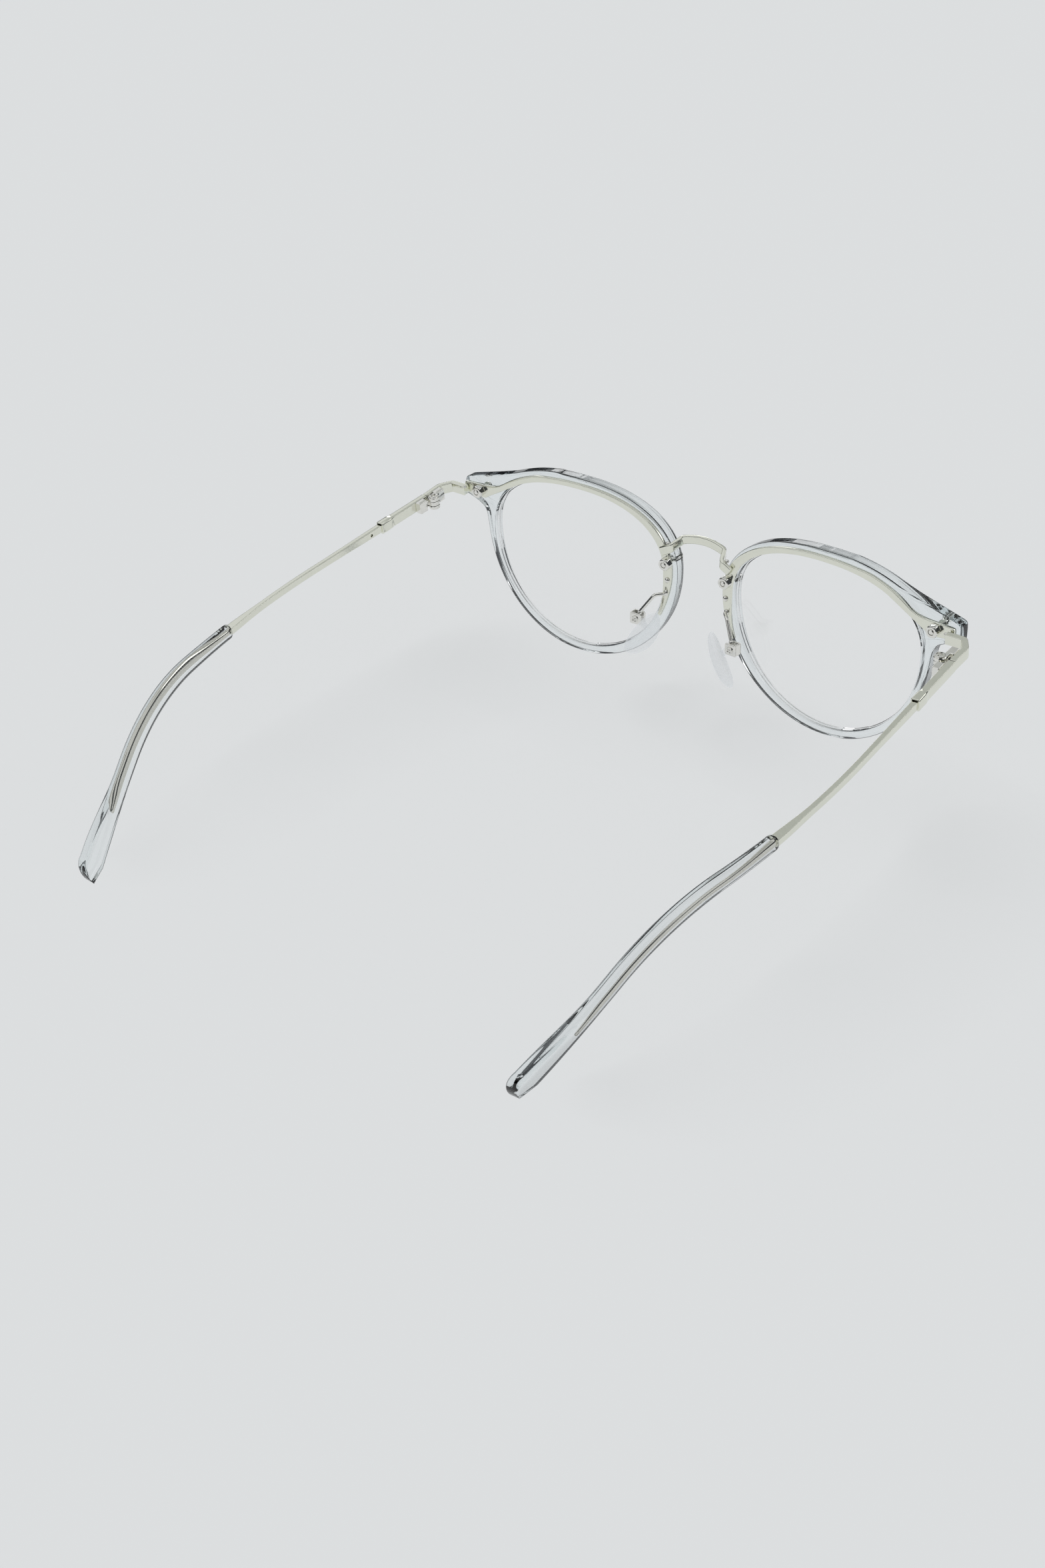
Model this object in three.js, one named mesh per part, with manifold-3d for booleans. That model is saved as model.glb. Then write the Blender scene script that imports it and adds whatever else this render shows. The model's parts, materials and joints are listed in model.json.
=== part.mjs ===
// Round eyeglasses: clear plastic rims with metal brow plates, a metal bridge and slim folding temples.
// Millimetres, +Z up. The front faces -Y, the temples run to +Y, and left is the wearer's left, +X.
import * as THREE from 'three';
import { mergeVertices } from 'three/addons/utils/BufferGeometryUtils.js';
import Module from 'manifold-3d';

const wasm = await Module();
wasm.setup();

// Rim opening, a panto outline round a centre on its widest line
const openingWidth = 47.6;
const openingAbove = 14.8;
const openingBelow = 24.6;
const upperExponent = 2.3;
const lowerExponent = 2.0;
const bridgeGap = 18.4;

// Rim walls round the opening, the groove for the lens and the wing at the top outer corner
const noseWall = 3.0;
const templeWall = 1.6;
const browWall = 2.1;
const bottomWall = 1.9;
const rimDepth = 3.4;
const rimEdge = 0.7;
const lowSet = 0.3;
const lowDepth = 2.4;
const lowStart = THREE.MathUtils.degToRad(196);
const lowFull = THREE.MathUtils.degToRad(236);
const lowFade = THREE.MathUtils.degToRad(312);
const lowEnd = THREE.MathUtils.degToRad(352);
const grooveDepth = 0.6;
const grooveWidth = 1.3;
const grooveSet = 1.7;
const wingReach = 8.6;
const wingHeight = 4.0;
const wingLift = 8.1;
const wingTopSlope = 0.24;
const wingFall = 2.0;
const wingUnderSlope = 0.3;
const wingBlend = 1.6;
const wingRound = 0.9;
const wingFade = 0.35;
const wingFillet = 7.0;
const filletLow = -0.6;
const filletHigh = 0.2;

// Lens
const lensThickness = 1.6;
const lensSag = 2.2;
const lensClearance = 0.15;
const lensMiddleShare = 0.05;
const lensRingShare = 0.55;

// How the front stands: wrapped round the face and tilted in below
const faceForm = THREE.MathUtils.degToRad(2.5);
const pantoscopicTilt = THREE.MathUtils.degToRad(8.5);

// Brow plate behind the rim
const seatGap = 0.15;
const plateThickness = 0.9;
const plateInset = 0.75;
const plateLip = 0.1;
const plateEdge = 0.15;
const plateNoseEnd = THREE.MathUtils.degToRad(204);
const plateTaperStart = THREE.MathUtils.degToRad(178);
const plateOuterTaper = 0.5;
const plateInnerTaper = 0.7;
const plateLeafStart = THREE.MathUtils.degToRad(38);
const plateLeafEnd = THREE.MathUtils.degToRad(13);
const plateLeafMargin = 1.6;
const plateLeafRise = 1.3;
const plateLeafReach = 6.0;
const plateLeafRound = 0.6;
const plateLeafBlend = 3.0;
const leafNear = 0.2;
const leafFull = 0.6;

// Rim screws with their nuts, and the rivet pin under the nose screw
const screwShank = 1.1;
const screwHead = 2.2;
const screwHeadHeight = 0.7;
const boreClearance = 0.15;
const nutAcross = 2.6;
const nutHeight = 1.4;
const nutEdge = 0.2;
const noseScrewAngle = THREE.MathUtils.degToRad(173);
const outerScrewOut = 3.4;
const outerScrewDrop = 0.1;
const noseScrewSet = 1.35;
const rivetAngle = THREE.MathUtils.degToRad(182.5);
const rivetShank = 0.8;
const rivetHead = 1.3;
const rivetHeadHeight = 0.5;
const rivetReach = 1.4;

// Bridge strip, half of its path from the plate to the middle
const bridgeThickness = 0.9;
const bridgeHeight = 2.3;
const bridgeFootLength = 3.4;
const bridgeFootDrop = 1.2;
const bridgeKneeX = 6.8;
const bridgeKneeRise = 7.1;
const bridgeBendX = 5.5;
const bridgeBendForward = 3.1;
const bridgeBendRise = 1.4;
const bridgeArchForward = 0.6;
const bridgeArchRise = 0.8;
const bridgeArchSteps = 8;

// Pad arm, pad box, pad screw and nose pad
const armWire = 1.0;
const armRootAngle = THREE.MathUtils.degToRad(190);
const armReachBack = 2.1;
const armElbowOut = 1.6;
const armSteps = 12;
const boxWidth = 2.9;
const boxDepth = 2.2;
const boxHeight = 2.7;
const boxWall = 0.4;
const boxOut = 4.85;
const boxBack = 3.9;
const boxDrop = 5.7;
const padScrewShank = 0.8;
const padScrewHead = 1.5;
const padScrewHeadHeight = 0.35;
const padLugThickness = 0.8;
const padLugHeight = 1.5;
const padLength = 13.0;
const padWidth = 7.0;
const padThickness = 2.4;
const padTaper = 0.2;
const padRoll = THREE.MathUtils.degToRad(63);
const padIn = 2.6;
const padBack = 1.4;
const padDrop = 3.2;
const padFrontal = THREE.MathUtils.degToRad(28);
const padSplay = THREE.MathUtils.degToRad(30);

// Hinge: its axis stands on the inner side of the butt joint between end piece and temple
const hingeOut = 8.1;
const hingeBack = 7.7;
const hingeRise = 8.05;
const barrelDiameter = 3.2;
const barrelHeight = 0.95;
const barrelMiddle = 1.2;
const barrelGap = 0.1;
const leafLength = 3.6;
const leafInner = 0.3;
const leafGap = 0.1;
const hingeScrewShank = 1.2;
const hingeScrewHead = 2.4;
const hingeScrewHeadHeight = 0.55;
const buttGap = 0.3;

// End piece and the temple behind it
const endPieceThickness = 1.5;
const endPieceCornerOut = 1.2;
const endPieceStraight = 3.4;
const endPieceNutGap = 0.5;
const templeSplay = THREE.MathUtils.degToRad(2.3);
const templeRise = THREE.MathUtils.degToRad(0.75);
const frontThickness = 1.8;
const frontHeight = 2.8;
const frontLength = 12.6;
const collarThickness = 2.5;
const collarHeight = 3.5;
const collarLength = 4.4;
const collarOverlap = 1.6;
const sleeveClearance = 0.1;
const barThickness = 1.4;
const barHeight = 2.0;

// Temple line: it bows inward past the collar and bends down behind the ear
const tipStart = 64.6;
const bowStart = 36;
const bowRadius = 203;
const bendStart = 78.6;
const bendRadius = 44;
const bendAngle = THREE.MathUtils.degToRad(33);
const tipStraight = 25.6;

// Core wire and clear tip
const coreThickness = 0.6;
const coreHeight = 0.95;
const coreShort = 13.9;
const coreClearance = 0.15;
const tipThickness = 3.0;
const tipHeight = 3.8;
const paddleThickness = 3.0;
const paddleHeight = 5.5;
const paddleLength = 22;
const tipEndRound = 3.6;
const tipEndTurn = THREE.MathUtils.degToRad(81);
const tipEndRise = 1.2;
const tipEndShare = 0.7;
const tipMouthShare = 0.86;
const tipMouthLength = 0.25;
const tipExponent = 2.8;
const paddleExponent = 4.5;
const barExponent = 40;

// Fineness of round forms
const roundSides = 16;
const wireSides = 8;
const outlineStep = THREE.MathUtils.degToRad(6.5);
const filletStep = THREE.MathUtils.degToRad(4);
const wingEndStep = THREE.MathUtils.degToRad(1);
const wingStep = THREE.MathUtils.degToRad(2.8);
const filletFrom = THREE.MathUtils.degToRad(-24);
const wingUnder = THREE.MathUtils.degToRad(4);
const wingOver = THREE.MathUtils.degToRad(19);
const wingSpan = THREE.MathUtils.degToRad(44);
const padSides = 20;
const barStep = 6;
const coreStep = 4;
const tipStep = 3.6;
const cutOver = 1;
const restLimit = Math.PI / 6;
const restStep = 1e-9;

// Places that follow from the sizes above, in the front's own frame
const openingHalf = openingWidth / 2;
const centreX = bridgeGap / 2 + openingHalf;
const centreZ = openingBelow + bottomWall;
const plateBack = seatGap + plateThickness;
const rimSideX = centreX + openingHalf + templeWall;
const wallMiddle = openingHalf + noseScrewSet;

// Finishes
const clearPlastic = { color: 0xdde6ea, roughness: 0.08, metalness: 0, transparent: true, opacity: 0.45 };
const lensClear = { color: 0xf2f7f8, roughness: 0.03, metalness: 0, transparent: true, opacity: 0.2 };
const champagne = { color: 0xd8d4c6, roughness: 0.22, metalness: 1 };
const silver = { color: 0xd6d5d0, roughness: 0.25, metalness: 1 };
const silicone = { color: 0xeef4f8, roughness: 0.2, metalness: 0, transparent: true, opacity: 0.35 };

// Closed solid from points and triangles, with its faces turned outward
function solid(points, triangles) {
  const geometry = new THREE.BufferGeometry();
  geometry.setAttribute('position', new THREE.Float32BufferAttribute(points.flatMap((p) => p.toArray()), 3));
  let volume = 0;
  for (const [a, b, c] of triangles) {
    volume += points[a].dot(new THREE.Vector3().crossVectors(points[b], points[c]));
  }
  const faces = volume < 0 ? triangles.map(([a, b, c]) => [a, c, b]) : triangles;
  geometry.setIndex(faces.flat());
  return geometry;
}

// Skin over loops of equally many points: a ring if closed, otherwise capped at the loops' middles
function skin(loops, closed = false) {
  const count = loops[0].length;
  const points = loops.flat();
  const triangles = [];
  const bands = closed ? loops.length : loops.length - 1;
  for (let j = 0; j < bands; j += 1) {
    const here = j * count;
    const there = ((j + 1) % loops.length) * count;
    for (let i = 0; i < count; i += 1) {
      const next = (i + 1) % count;
      triangles.push([here + i, here + next, there + next], [here + i, there + next, there + i]);
    }
  }
  if (!closed) {
    [loops[0], loops.at(-1)].forEach((loop, end) => {
      const middle = loop.reduce((sum, p) => sum.add(p), new THREE.Vector3()).divideScalar(count);
      const first = end === 0 ? 0 : (loops.length - 1) * count;
      points.push(middle);
      for (let i = 0; i < count; i += 1) {
        const next = (i + 1) % count;
        const pair = end === 0 ? [first + next, first + i] : [first + i, first + next];
        triangles.push([points.length - 1, ...pair]);
      }
    });
  }
  return solid(points, triangles);
}

// Joins and cuts
function toManifold(geometry) {
  const bare = new THREE.BufferGeometry();
  bare.setAttribute('position', geometry.getAttribute('position').clone());
  if (geometry.index) bare.setIndex(geometry.index.clone());
  const merged = mergeVertices(bare, 1e-5);
  const vertProperties = new Float32Array(merged.getAttribute('position').array);
  const triVerts = new Uint32Array(merged.index.array);
  return new wasm.Manifold(new wasm.Mesh({ numProp: 3, vertProperties, triVerts }));
}

function fromManifold(body) {
  const mesh = body.getMesh();
  const geometry = new THREE.BufferGeometry();
  geometry.setAttribute('position', new THREE.BufferAttribute(new Float32Array(mesh.vertProperties), 3));
  geometry.setIndex(new THREE.BufferAttribute(new Uint32Array(mesh.triVerts), 1));
  return geometry;
}

function cut(geometry, ...tools) {
  return fromManifold(tools.reduce((body, tool) => body.subtract(toManifold(tool)), toManifold(geometry)));
}

function join(...parts) {
  const [first, ...others] = parts.map(toManifold);
  return fromManifold(others.reduce((body, part) => body.add(part), first));
}

// The same piece for the other side of the face
function mirrored(geometry) {
  const twin = geometry.index ? geometry.toNonIndexed() : geometry.clone();
  const place = twin.getAttribute('position');
  const corner = [new THREE.Vector3(), new THREE.Vector3(), new THREE.Vector3()];
  for (let i = 0; i < place.count; i += 3) {
    corner.forEach((p, k) => p.fromBufferAttribute(place, i + k));
    [0, 2, 1].forEach((from, k) => place.setXYZ(i + k, -corner[from].x, corner[from].y, corner[from].z));
  }
  return twin;
}

// Plate of a flat outline drawn in X and Z, from one depth back to another
function sheet(shape, yFront, yBack, edge = 0) {
  const bevel = { bevelThickness: edge, bevelSize: edge, bevelOffset: -edge, bevelSegments: 1 };
  const depth = yBack - yFront - 2 * edge;
  const geometry = new THREE.ExtrudeGeometry(shape, { depth, bevelEnabled: edge > 0, ...bevel });
  geometry.rotateX(Math.PI / 2);
  geometry.translate(0, yBack - edge, 0);
  return geometry;
}

// Plate of an outline drawn in plan, X and Y, from one height up to another
function slab(shape, zLow, zHigh) {
  const geometry = new THREE.ExtrudeGeometry(shape, { depth: zHigh - zLow, bevelEnabled: false });
  geometry.translate(0, 0, zLow);
  return geometry;
}

function circle(x, y, radius) {
  return new THREE.Path().absarc(x, y, radius, 0, 2 * Math.PI);
}

// Turned piece on a line along Y through a place, from its profile of radius and Y
function turned(profile, x, z) {
  const points = profile.map(([radius, y]) => new THREE.Vector2(radius, y));
  const geometry = fromManifold(toManifold(new THREE.LatheGeometry(points, roundSides)));
  geometry.translate(x, 0, z);
  return geometry;
}

function rod(radius, yFront, yBack, x, z) {
  return turned([[0, yFront], [radius, yFront], [radius, yBack], [0, yBack]], x, z);
}

// Headed pin along Y, from the end of its shank to the top of a bevelled head that may face either way
function pin(shank, end, head, seat, headHeight, place) {
  const top = seat + headHeight * Math.sign(seat - end);
  const profile = [
    [0, end],
    [shank / 2, end],
    [shank / 2, seat],
    [head / 2, seat],
    [head / 2, (seat + top) / 2],
    [(head - headHeight) / 2, top],
    [0, top],
  ];
  return turned(top > end ? profile : profile.toReversed(), place.x, place.z);
}

// Upright strip along a path, mitred at its corners
function ribbon(path, thickness, height) {
  const loops = path.map((here, i) => {
    const before = path[Math.max(i - 1, 0)];
    const after = path[Math.min(i + 1, path.length - 1)];
    const into = new THREE.Vector2(here.x - before.x, here.y - before.y).normalize();
    const out = new THREE.Vector2(after.x - here.x, after.y - here.y).normalize();
    const along = into.clone().add(out).normalize();
    const square = into.lengthSq() > 0 ? along.dot(into) : along.dot(out);
    const reach = thickness / 2 / square;
    const side = new THREE.Vector3(-along.y * reach, along.x * reach, 0);
    const up = new THREE.Vector3(0, 0, height / 2);
    const low = here.clone().sub(up);
    const high = here.clone().add(up);
    return [low.clone().sub(side), low.clone().add(side), high.clone().add(side), high.clone().sub(side)];
  });
  return skin(loops);
}

// Round wire along a smooth path
function wire(points, diameter, steps) {
  const section = new THREE.Shape(circle(0, 0, diameter / 2).getPoints(wireSides / 2).slice(0, -1));
  const extrudePath = new THREE.CatmullRomCurve3(points, false, 'centripetal');
  return new THREE.ExtrudeGeometry(section, { steps, extrudePath });
}

// Rim outlines, as a reach from the centre at each angle: 0 to the temple, a quarter turn up
function panto(angle, noseSide, templeSide, above, below) {
  const across = Math.abs(Math.cos(angle)) / (Math.cos(angle) > 0 ? templeSide : noseSide);
  const along = Math.abs(Math.sin(angle)) / (Math.sin(angle) > 0 ? above : below);
  const exponent = Math.sin(angle) > 0 ? upperExponent : lowerExponent;
  return (across ** exponent + along ** exponent) ** (-1 / exponent);
}

function openingReach(angle) {
  return panto(angle, openingHalf, openingHalf, openingAbove, openingBelow);
}

function smoothMax(a, b, blend) {
  return (a + b + Math.hypot(a - b, blend)) / 2;
}

function smoothMin(a, b, blend) {
  return -smoothMax(-a, -b, blend);
}

// Outer line of the rim without its wing
function rimOval(angle) {
  const above = openingAbove + browWall;
  const below = openingBelow + bottomWall;
  return panto(angle, openingHalf + noseWall, openingHalf + templeWall, above, below);
}

// The wing is bounded by its end and a sloping top that stays under the rim's top
function wingReachAt(angle) {
  const across = Math.cos(angle);
  const up = Math.sin(angle);
  const endX = openingHalf + wingReach;
  const end = endX / across;
  const rise = up + wingTopSlope * across;
  const top = rise > 0 ? (wingLift + wingHeight / 2 + wingTopSlope * endX) / rise : end;
  const cap = up > 0 ? (openingAbove + browWall - wingFall) / up : end;
  const fade = up > 0 ? THREE.MathUtils.smoothstep(across, 0, wingFade) : 1;
  return smoothMin(smoothMin(end, top, wingRound), cap, wingRound) * fade;
}

// A wide fillet leads from the rim's side to the sloping underside of the wing
function rimReach(angle) {
  const across = Math.cos(angle);
  const oval = rimOval(angle);
  if (across <= 0) return oval;
  const over = smoothMax(oval, wingReachAt(angle), wingBlend);
  const fall = wingUnderSlope * across - Math.sin(angle);
  if (fall <= 0) return over;
  const under = (wingUnderSlope * (openingHalf + wingReach) - wingLift + wingHeight / 2) / fall;
  const fillet = wingFillet * THREE.MathUtils.smoothstep(Math.sin(angle), filletLow, filletHigh);
  return smoothMin(over, smoothMax(oval, under, fillet), wingRound);
}

// Share of the slimmer section, which the rim has below the plate and the wing
function lowShare(angle) {
  const turn = THREE.MathUtils.euclideanModulo(angle, 2 * Math.PI);
  const rise = THREE.MathUtils.smoothstep(turn, lowStart, lowFull);
  return rise * (1 - THREE.MathUtils.smoothstep(turn, lowFade, lowEnd));
}

// Outer edge of the plate: inside the rim's own line, with a leaf that lies along the wing
function plateReach(angle) {
  const across = Math.cos(angle);
  const taper = plateOuterTaper * THREE.MathUtils.smoothstep(angle, plateTaperStart, plateNoseEnd);
  const edge = rimOval(angle) - plateInset - taper;
  if (across <= leafNear) return edge;
  const share = THREE.MathUtils.smoothstep(across, leafNear, leafFull);
  const top = ((wingLift + plateLeafRise) / Math.sin(angle)) * share;
  const leaf = smoothMin(top, (openingHalf + plateLeafReach) / across, plateLeafRound);
  return smoothMax(edge, leaf, plateLeafBlend * share);
}

function onOutline(angle, reach, y = 0) {
  return new THREE.Vector3(centreX + reach * Math.cos(angle), y, centreZ + reach * Math.sin(angle));
}

function anglesFrom(start, end, step) {
  const count = Math.max(1, Math.round(Math.abs(end - start) / step));
  return Array.from({ length: count + 1 }, (_, i) => start + ((end - start) * i) / count);
}

const rimAngles = [
  ...anglesFrom(filletFrom, wingUnder, filletStep).slice(0, -1),
  ...anglesFrom(wingUnder, wingOver, wingEndStep).slice(0, -1),
  ...anglesFrom(wingOver, wingSpan, wingStep).slice(0, -1),
  ...anglesFrom(wingSpan, filletFrom + 2 * Math.PI, outlineStep).slice(0, -1),
];
const lensAngles = anglesFrom(0, 2 * Math.PI, outlineStep).slice(0, -1);

// Places of the screws and the rivet on the rim
const outerScrewX = centreX + openingHalf + outerScrewOut;
const outerScrew = new THREE.Vector3(outerScrewX, 0, centreZ + wingLift - outerScrewDrop);
const noseScrew = onOutline(noseScrewAngle, wallMiddle);
const rivet = onOutline(rivetAngle, wallMiddle);
const armRoot = onOutline(armRootAngle, wallMiddle);

// Bores for the two rim screws and the rivet
function plateBores(yFront, yBack, rivetFront = yFront) {
  const screwBore = (screwShank + boreClearance) / 2;
  return [
    rod(screwBore, yFront, yBack, outerScrew.x, outerScrew.z),
    rod(screwBore, yFront, yBack, noseScrew.x, noseScrew.z),
    rod((rivetShank + boreClearance) / 2, rivetFront, yBack, rivet.x, rivet.z),
  ];
}

function makeRim() {
  const back = (shift) => (angle) => -lowSet * lowShare(angle) + shift;
  const front = (shift) => (angle) => {
    return THREE.MathUtils.lerp(-rimDepth, -lowSet - lowDepth, lowShare(angle)) + shift;
  };
  const groove = (shift) => () => -grooveSet + shift;
  const outer = (edge) => (angle) => rimReach(angle) - edge;
  const inner = (edge) => (angle) => openingReach(angle) + edge;
  const ring = (reachOf, yOf) => rimAngles.map((angle) => onOutline(angle, reachOf(angle), yOf(angle)));
  const body = skin([
    ring(outer(rimEdge), front(0)),
    ring(outer(0), front(rimEdge)),
    ring(outer(0), back(-rimEdge)),
    ring(outer(rimEdge), back(0)),
    ring(inner(0), back(0)),
    ring(inner(0), groove(grooveWidth / 2)),
    ring(inner(grooveDepth), groove(0)),
    ring(inner(0), groove(-grooveWidth / 2)),
    ring(inner(0), front(0)),
  ], true);
  const rivetEnd = -rivetReach - seatGap;
  return cut(body, ...plateBores(-rimDepth - seatGap, seatGap, rivetEnd));
}

// A shallow meniscus with a bevelled edge that stands in the groove
function makeLens() {
  const back = -grooveSet + lensThickness / 2;
  const front = -grooveSet - lensThickness / 2;
  const bevel = grooveDepth - lensClearance;
  const ring = (share, y) => lensAngles.map((angle) => {
    const reach = (openingReach(angle) - lensClearance) * share;
    return onOutline(angle, reach, y - lensSag * (1 - share ** 2));
  });
  const ridge = lensAngles.map((angle) => onOutline(angle, openingReach(angle) + bevel, -grooveSet));
  const ridgeHalf = grooveWidth / 2 - lensClearance;
  const shares = [lensMiddleShare, lensRingShare, 1];
  return skin([
    ...shares.map((share) => ring(share, back)),
    ring(1, -grooveSet + ridgeHalf),
    ridge,
    ring(1, -grooveSet - ridgeHalf),
    ...shares.toReversed().map((share) => ring(share, front)),
  ]);
}

// The plate follows the rim's top and nose side, and widens to a leaf on the wing
function makeBrowPlate() {
  const flat = (angle, reach) => {
    const place = onOutline(angle, reach);
    return new THREE.Vector2(place.x, place.z);
  };
  const outerEdge = [
    ...anglesFrom(plateLeafEnd, wingSpan, wingStep),
    ...anglesFrom(wingSpan, plateNoseEnd, outlineStep).slice(1),
  ].map((angle) => flat(angle, plateReach(angle)));
  const innerEdge = anglesFrom(plateNoseEnd, plateLeafStart, outlineStep).map((angle) => {
    const taper = plateInnerTaper * THREE.MathUtils.smoothstep(angle, plateTaperStart, plateNoseEnd);
    return flat(angle, openingReach(angle) + plateLip + taper);
  });
  const shape = new THREE.Shape([...outerEdge, ...innerEdge]);
  shape.splineThru([
    new THREE.Vector2(outerScrew.x - 2 * plateLeafMargin, outerScrew.z - plateLeafMargin / 3),
    new THREE.Vector2(outerScrew.x - plateLeafMargin / 2, outerScrew.z - plateLeafMargin),
    outerEdge[0],
  ]);
  return cut(sheet(shape, seatGap, plateBack, plateEdge), ...plateBores(0, plateBack + seatGap));
}

// Head on the front of the rim, shank through rim and plate to the end of the nut
function makeRimScrew(place) {
  const end = plateBack + seatGap + nutHeight;
  return pin(screwShank, end, screwHead, -rimDepth - seatGap, screwHeadHeight, place);
}

function makeNut(place) {
  const corners = anglesFrom(0, 2 * Math.PI, Math.PI / 3).slice(0, -1);
  const reach = nutAcross / 2 / Math.cos(Math.PI / 6);
  const corner = (a) => new THREE.Vector2(place.x + reach * Math.cos(a), place.z + reach * Math.sin(a));
  const shape = new THREE.Shape(corners.map(corner));
  shape.holes.push(circle(place.x, place.z, (screwShank + boreClearance) / 2));
  const front = plateBack + seatGap;
  return sheet(shape, front, front + nutHeight, nutEdge);
}

function makeRivet() {
  return pin(rivetShank, -rivetReach, rivetHead, plateBack + seatGap, rivetHeadHeight, rivet);
}

// Feet on the plates, legs that come forward between the rims, and a flat arch
function makeBridge() {
  const footBack = plateBack + seatGap + bridgeThickness / 2;
  const footEndX = bridgeKneeX + bridgeFootLength;
  const footY = footBack + footEndX * Math.tan(faceForm);
  const kneeZ = centreZ + bridgeKneeRise;
  const bendZ = kneeZ + bridgeBendRise;
  const half = [
    new THREE.Vector3(footEndX, footY, kneeZ - bridgeFootDrop),
    new THREE.Vector3(bridgeKneeX, footY, kneeZ),
    new THREE.Vector3(bridgeBendX, footY - bridgeBendForward, bendZ),
  ];
  const arch = anglesFrom(-1, 1, 2 / bridgeArchSteps).slice(1, -1).map((share) => {
    const swell = 1 - share ** 2;
    const y = footY - bridgeBendForward - bridgeArchForward * swell;
    return new THREE.Vector3(-share * bridgeBendX, y, bendZ + bridgeArchRise * swell);
  });
  const other = half.map((p) => new THREE.Vector3(-p.x, p.y, p.z)).toReversed();
  return ribbon([...half, ...arch, ...other], bridgeThickness, bridgeHeight);
}

// The box stands behind and below the arm's root, and its slot opens toward the nose
const boxCentre = new THREE.Vector3(armRoot.x + boxOut, plateBack + boxBack, armRoot.z - boxDrop);

function makePadArm() {
  const start = new THREE.Vector3(armRoot.x, plateBack + seatGap, armRoot.z);
  const elbow = start.clone().add(new THREE.Vector3(armElbowOut, armReachBack, 0));
  const boxTop = boxCentre.clone().add(new THREE.Vector3(0, 0, boxHeight / 2 + seatGap));
  const lead = boxTop.clone().add(new THREE.Vector3(0, 0, armWire / 2));
  const rootLead = start.clone().add(new THREE.Vector3(0, armWire / 2, 0));
  return wire([start, rootLead, elbow, lead, boxTop], armWire, armSteps);
}

function makePadBox() {
  const { x, y } = boxCentre;
  const halfX = boxWidth / 2;
  const halfY = boxDepth / 2;
  const shape = new THREE.Shape([
    new THREE.Vector2(x - halfX, y - halfY),
    new THREE.Vector2(x + halfX, y - halfY),
    new THREE.Vector2(x + halfX, y + halfY),
    new THREE.Vector2(x - halfX, y + halfY),
    new THREE.Vector2(x - halfX, y + halfY - boxWall),
    new THREE.Vector2(x + halfX - boxWall, y + halfY - boxWall),
    new THREE.Vector2(x + halfX - boxWall, y - halfY + boxWall),
    new THREE.Vector2(x - halfX, y - halfY + boxWall),
  ]);
  const body = slab(shape, boxCentre.z - boxHeight / 2, boxCentre.z + boxHeight / 2);
  const bore = (padScrewShank + boreClearance) / 2;
  return cut(body, rod(bore, y - boxDepth, y + boxDepth, x, boxCentre.z));
}

function makePadScrew() {
  const front = boxCentre.y - boxDepth / 2;
  const seat = boxCentre.y + boxDepth / 2 + seatGap;
  return pin(padScrewShank, front, padScrewHead, seat, padScrewHeadHeight, boxCentre);
}

// Teardrop pad facing the nose, with a lug that reaches into the box
function makeNosePad() {
  const turns = anglesFrom(0, 2 * Math.PI, (2 * Math.PI) / padSides).slice(0, -1);
  const ring = (share, x) => turns.map((a) => {
    const narrow = 1 - padTaper * Math.sin(a);
    const y = (padWidth / 2) * Math.cos(a) * narrow * share;
    return new THREE.Vector3(x, y, (padLength / 2) * Math.sin(a) * share);
  });
  const depth = padThickness / 2 / Math.sin(padRoll);
  const rolls = anglesFrom(padRoll, -padRoll, padRoll / 2);
  const cushion = skin(rolls.map((a) => ring(Math.cos(a), depth * Math.sin(a))));
  cushion.rotateZ(-padSplay);
  cushion.rotateY(-padFrontal);
  cushion.translate(boxCentre.x - padIn, boxCentre.y + padBack, boxCentre.z - padDrop);
  const lugShape = new THREE.Shape();
  lugShape.moveTo(boxCentre.x - padIn, boxCentre.z - padLugHeight / 2 - padDrop / 2);
  lugShape.lineTo(boxCentre.x, boxCentre.z - padLugHeight / 2);
  lugShape.absarc(boxCentre.x, boxCentre.z, padLugHeight / 2, -Math.PI / 2, Math.PI / 2);
  lugShape.lineTo(boxCentre.x - padIn, boxCentre.z + padLugHeight / 2 - padDrop / 2);
  lugShape.holes.push(circle(boxCentre.x, boxCentre.z, (padScrewShank + boreClearance) / 2));
  const lug = sheet(lugShape, boxCentre.y - padLugThickness / 2, boxCentre.y + padLugThickness / 2);
  return join(cushion, lug);
}

// Hinge and temple pieces stand in the temple's frame: its origin is on the hinge axis
const hinge = new THREE.Vector3(rimSideX + hingeOut, hingeBack, centreZ + hingeRise);
const barInner = barrelDiameter / 2 + leafGap;
const stackHeight = 2 * barrelHeight + barrelMiddle + 2 * barrelGap;
const frontMiddle = barInner + leafGap + frontThickness / 2;

// Barrel with the tongue that ties it to its leaf, in plan: toward the front or the temple
function barrel(direction, zLow, zHigh) {
  const radius = barrelDiameter / 2;
  const tongue = barInner + 2 * leafGap;
  const sweep = 2 * Math.PI - Math.acos(leafInner / radius);
  const shape = new THREE.Shape();
  shape.absarc(0, 0, radius, 0, -direction * sweep, direction > 0);
  shape.lineTo(leafInner, direction * tongue);
  shape.lineTo(radius, direction * tongue);
  shape.holes.push(circle(0, 0, (hingeScrewShank + boreClearance) / 2));
  return slab(shape, zLow, zHigh);
}

function leafBlock(direction) {
  const block = new THREE.BoxGeometry(barInner - leafGap - leafInner, leafLength, stackHeight);
  const middle = barInner + leafGap + leafLength / 2;
  block.translate((barInner - leafGap + leafInner) / 2, direction * middle, 0);
  return block;
}

function makeFrontLeaf() {
  const top = stackHeight / 2;
  const lower = barrel(-1, -top, -top + barrelHeight);
  const upper = barrel(-1, top - barrelHeight, top);
  return join(leafBlock(-1), lower, upper);
}

function makeTempleLeaf() {
  return join(leafBlock(1), barrel(1, -barrelMiddle / 2, barrelMiddle / 2));
}

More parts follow.
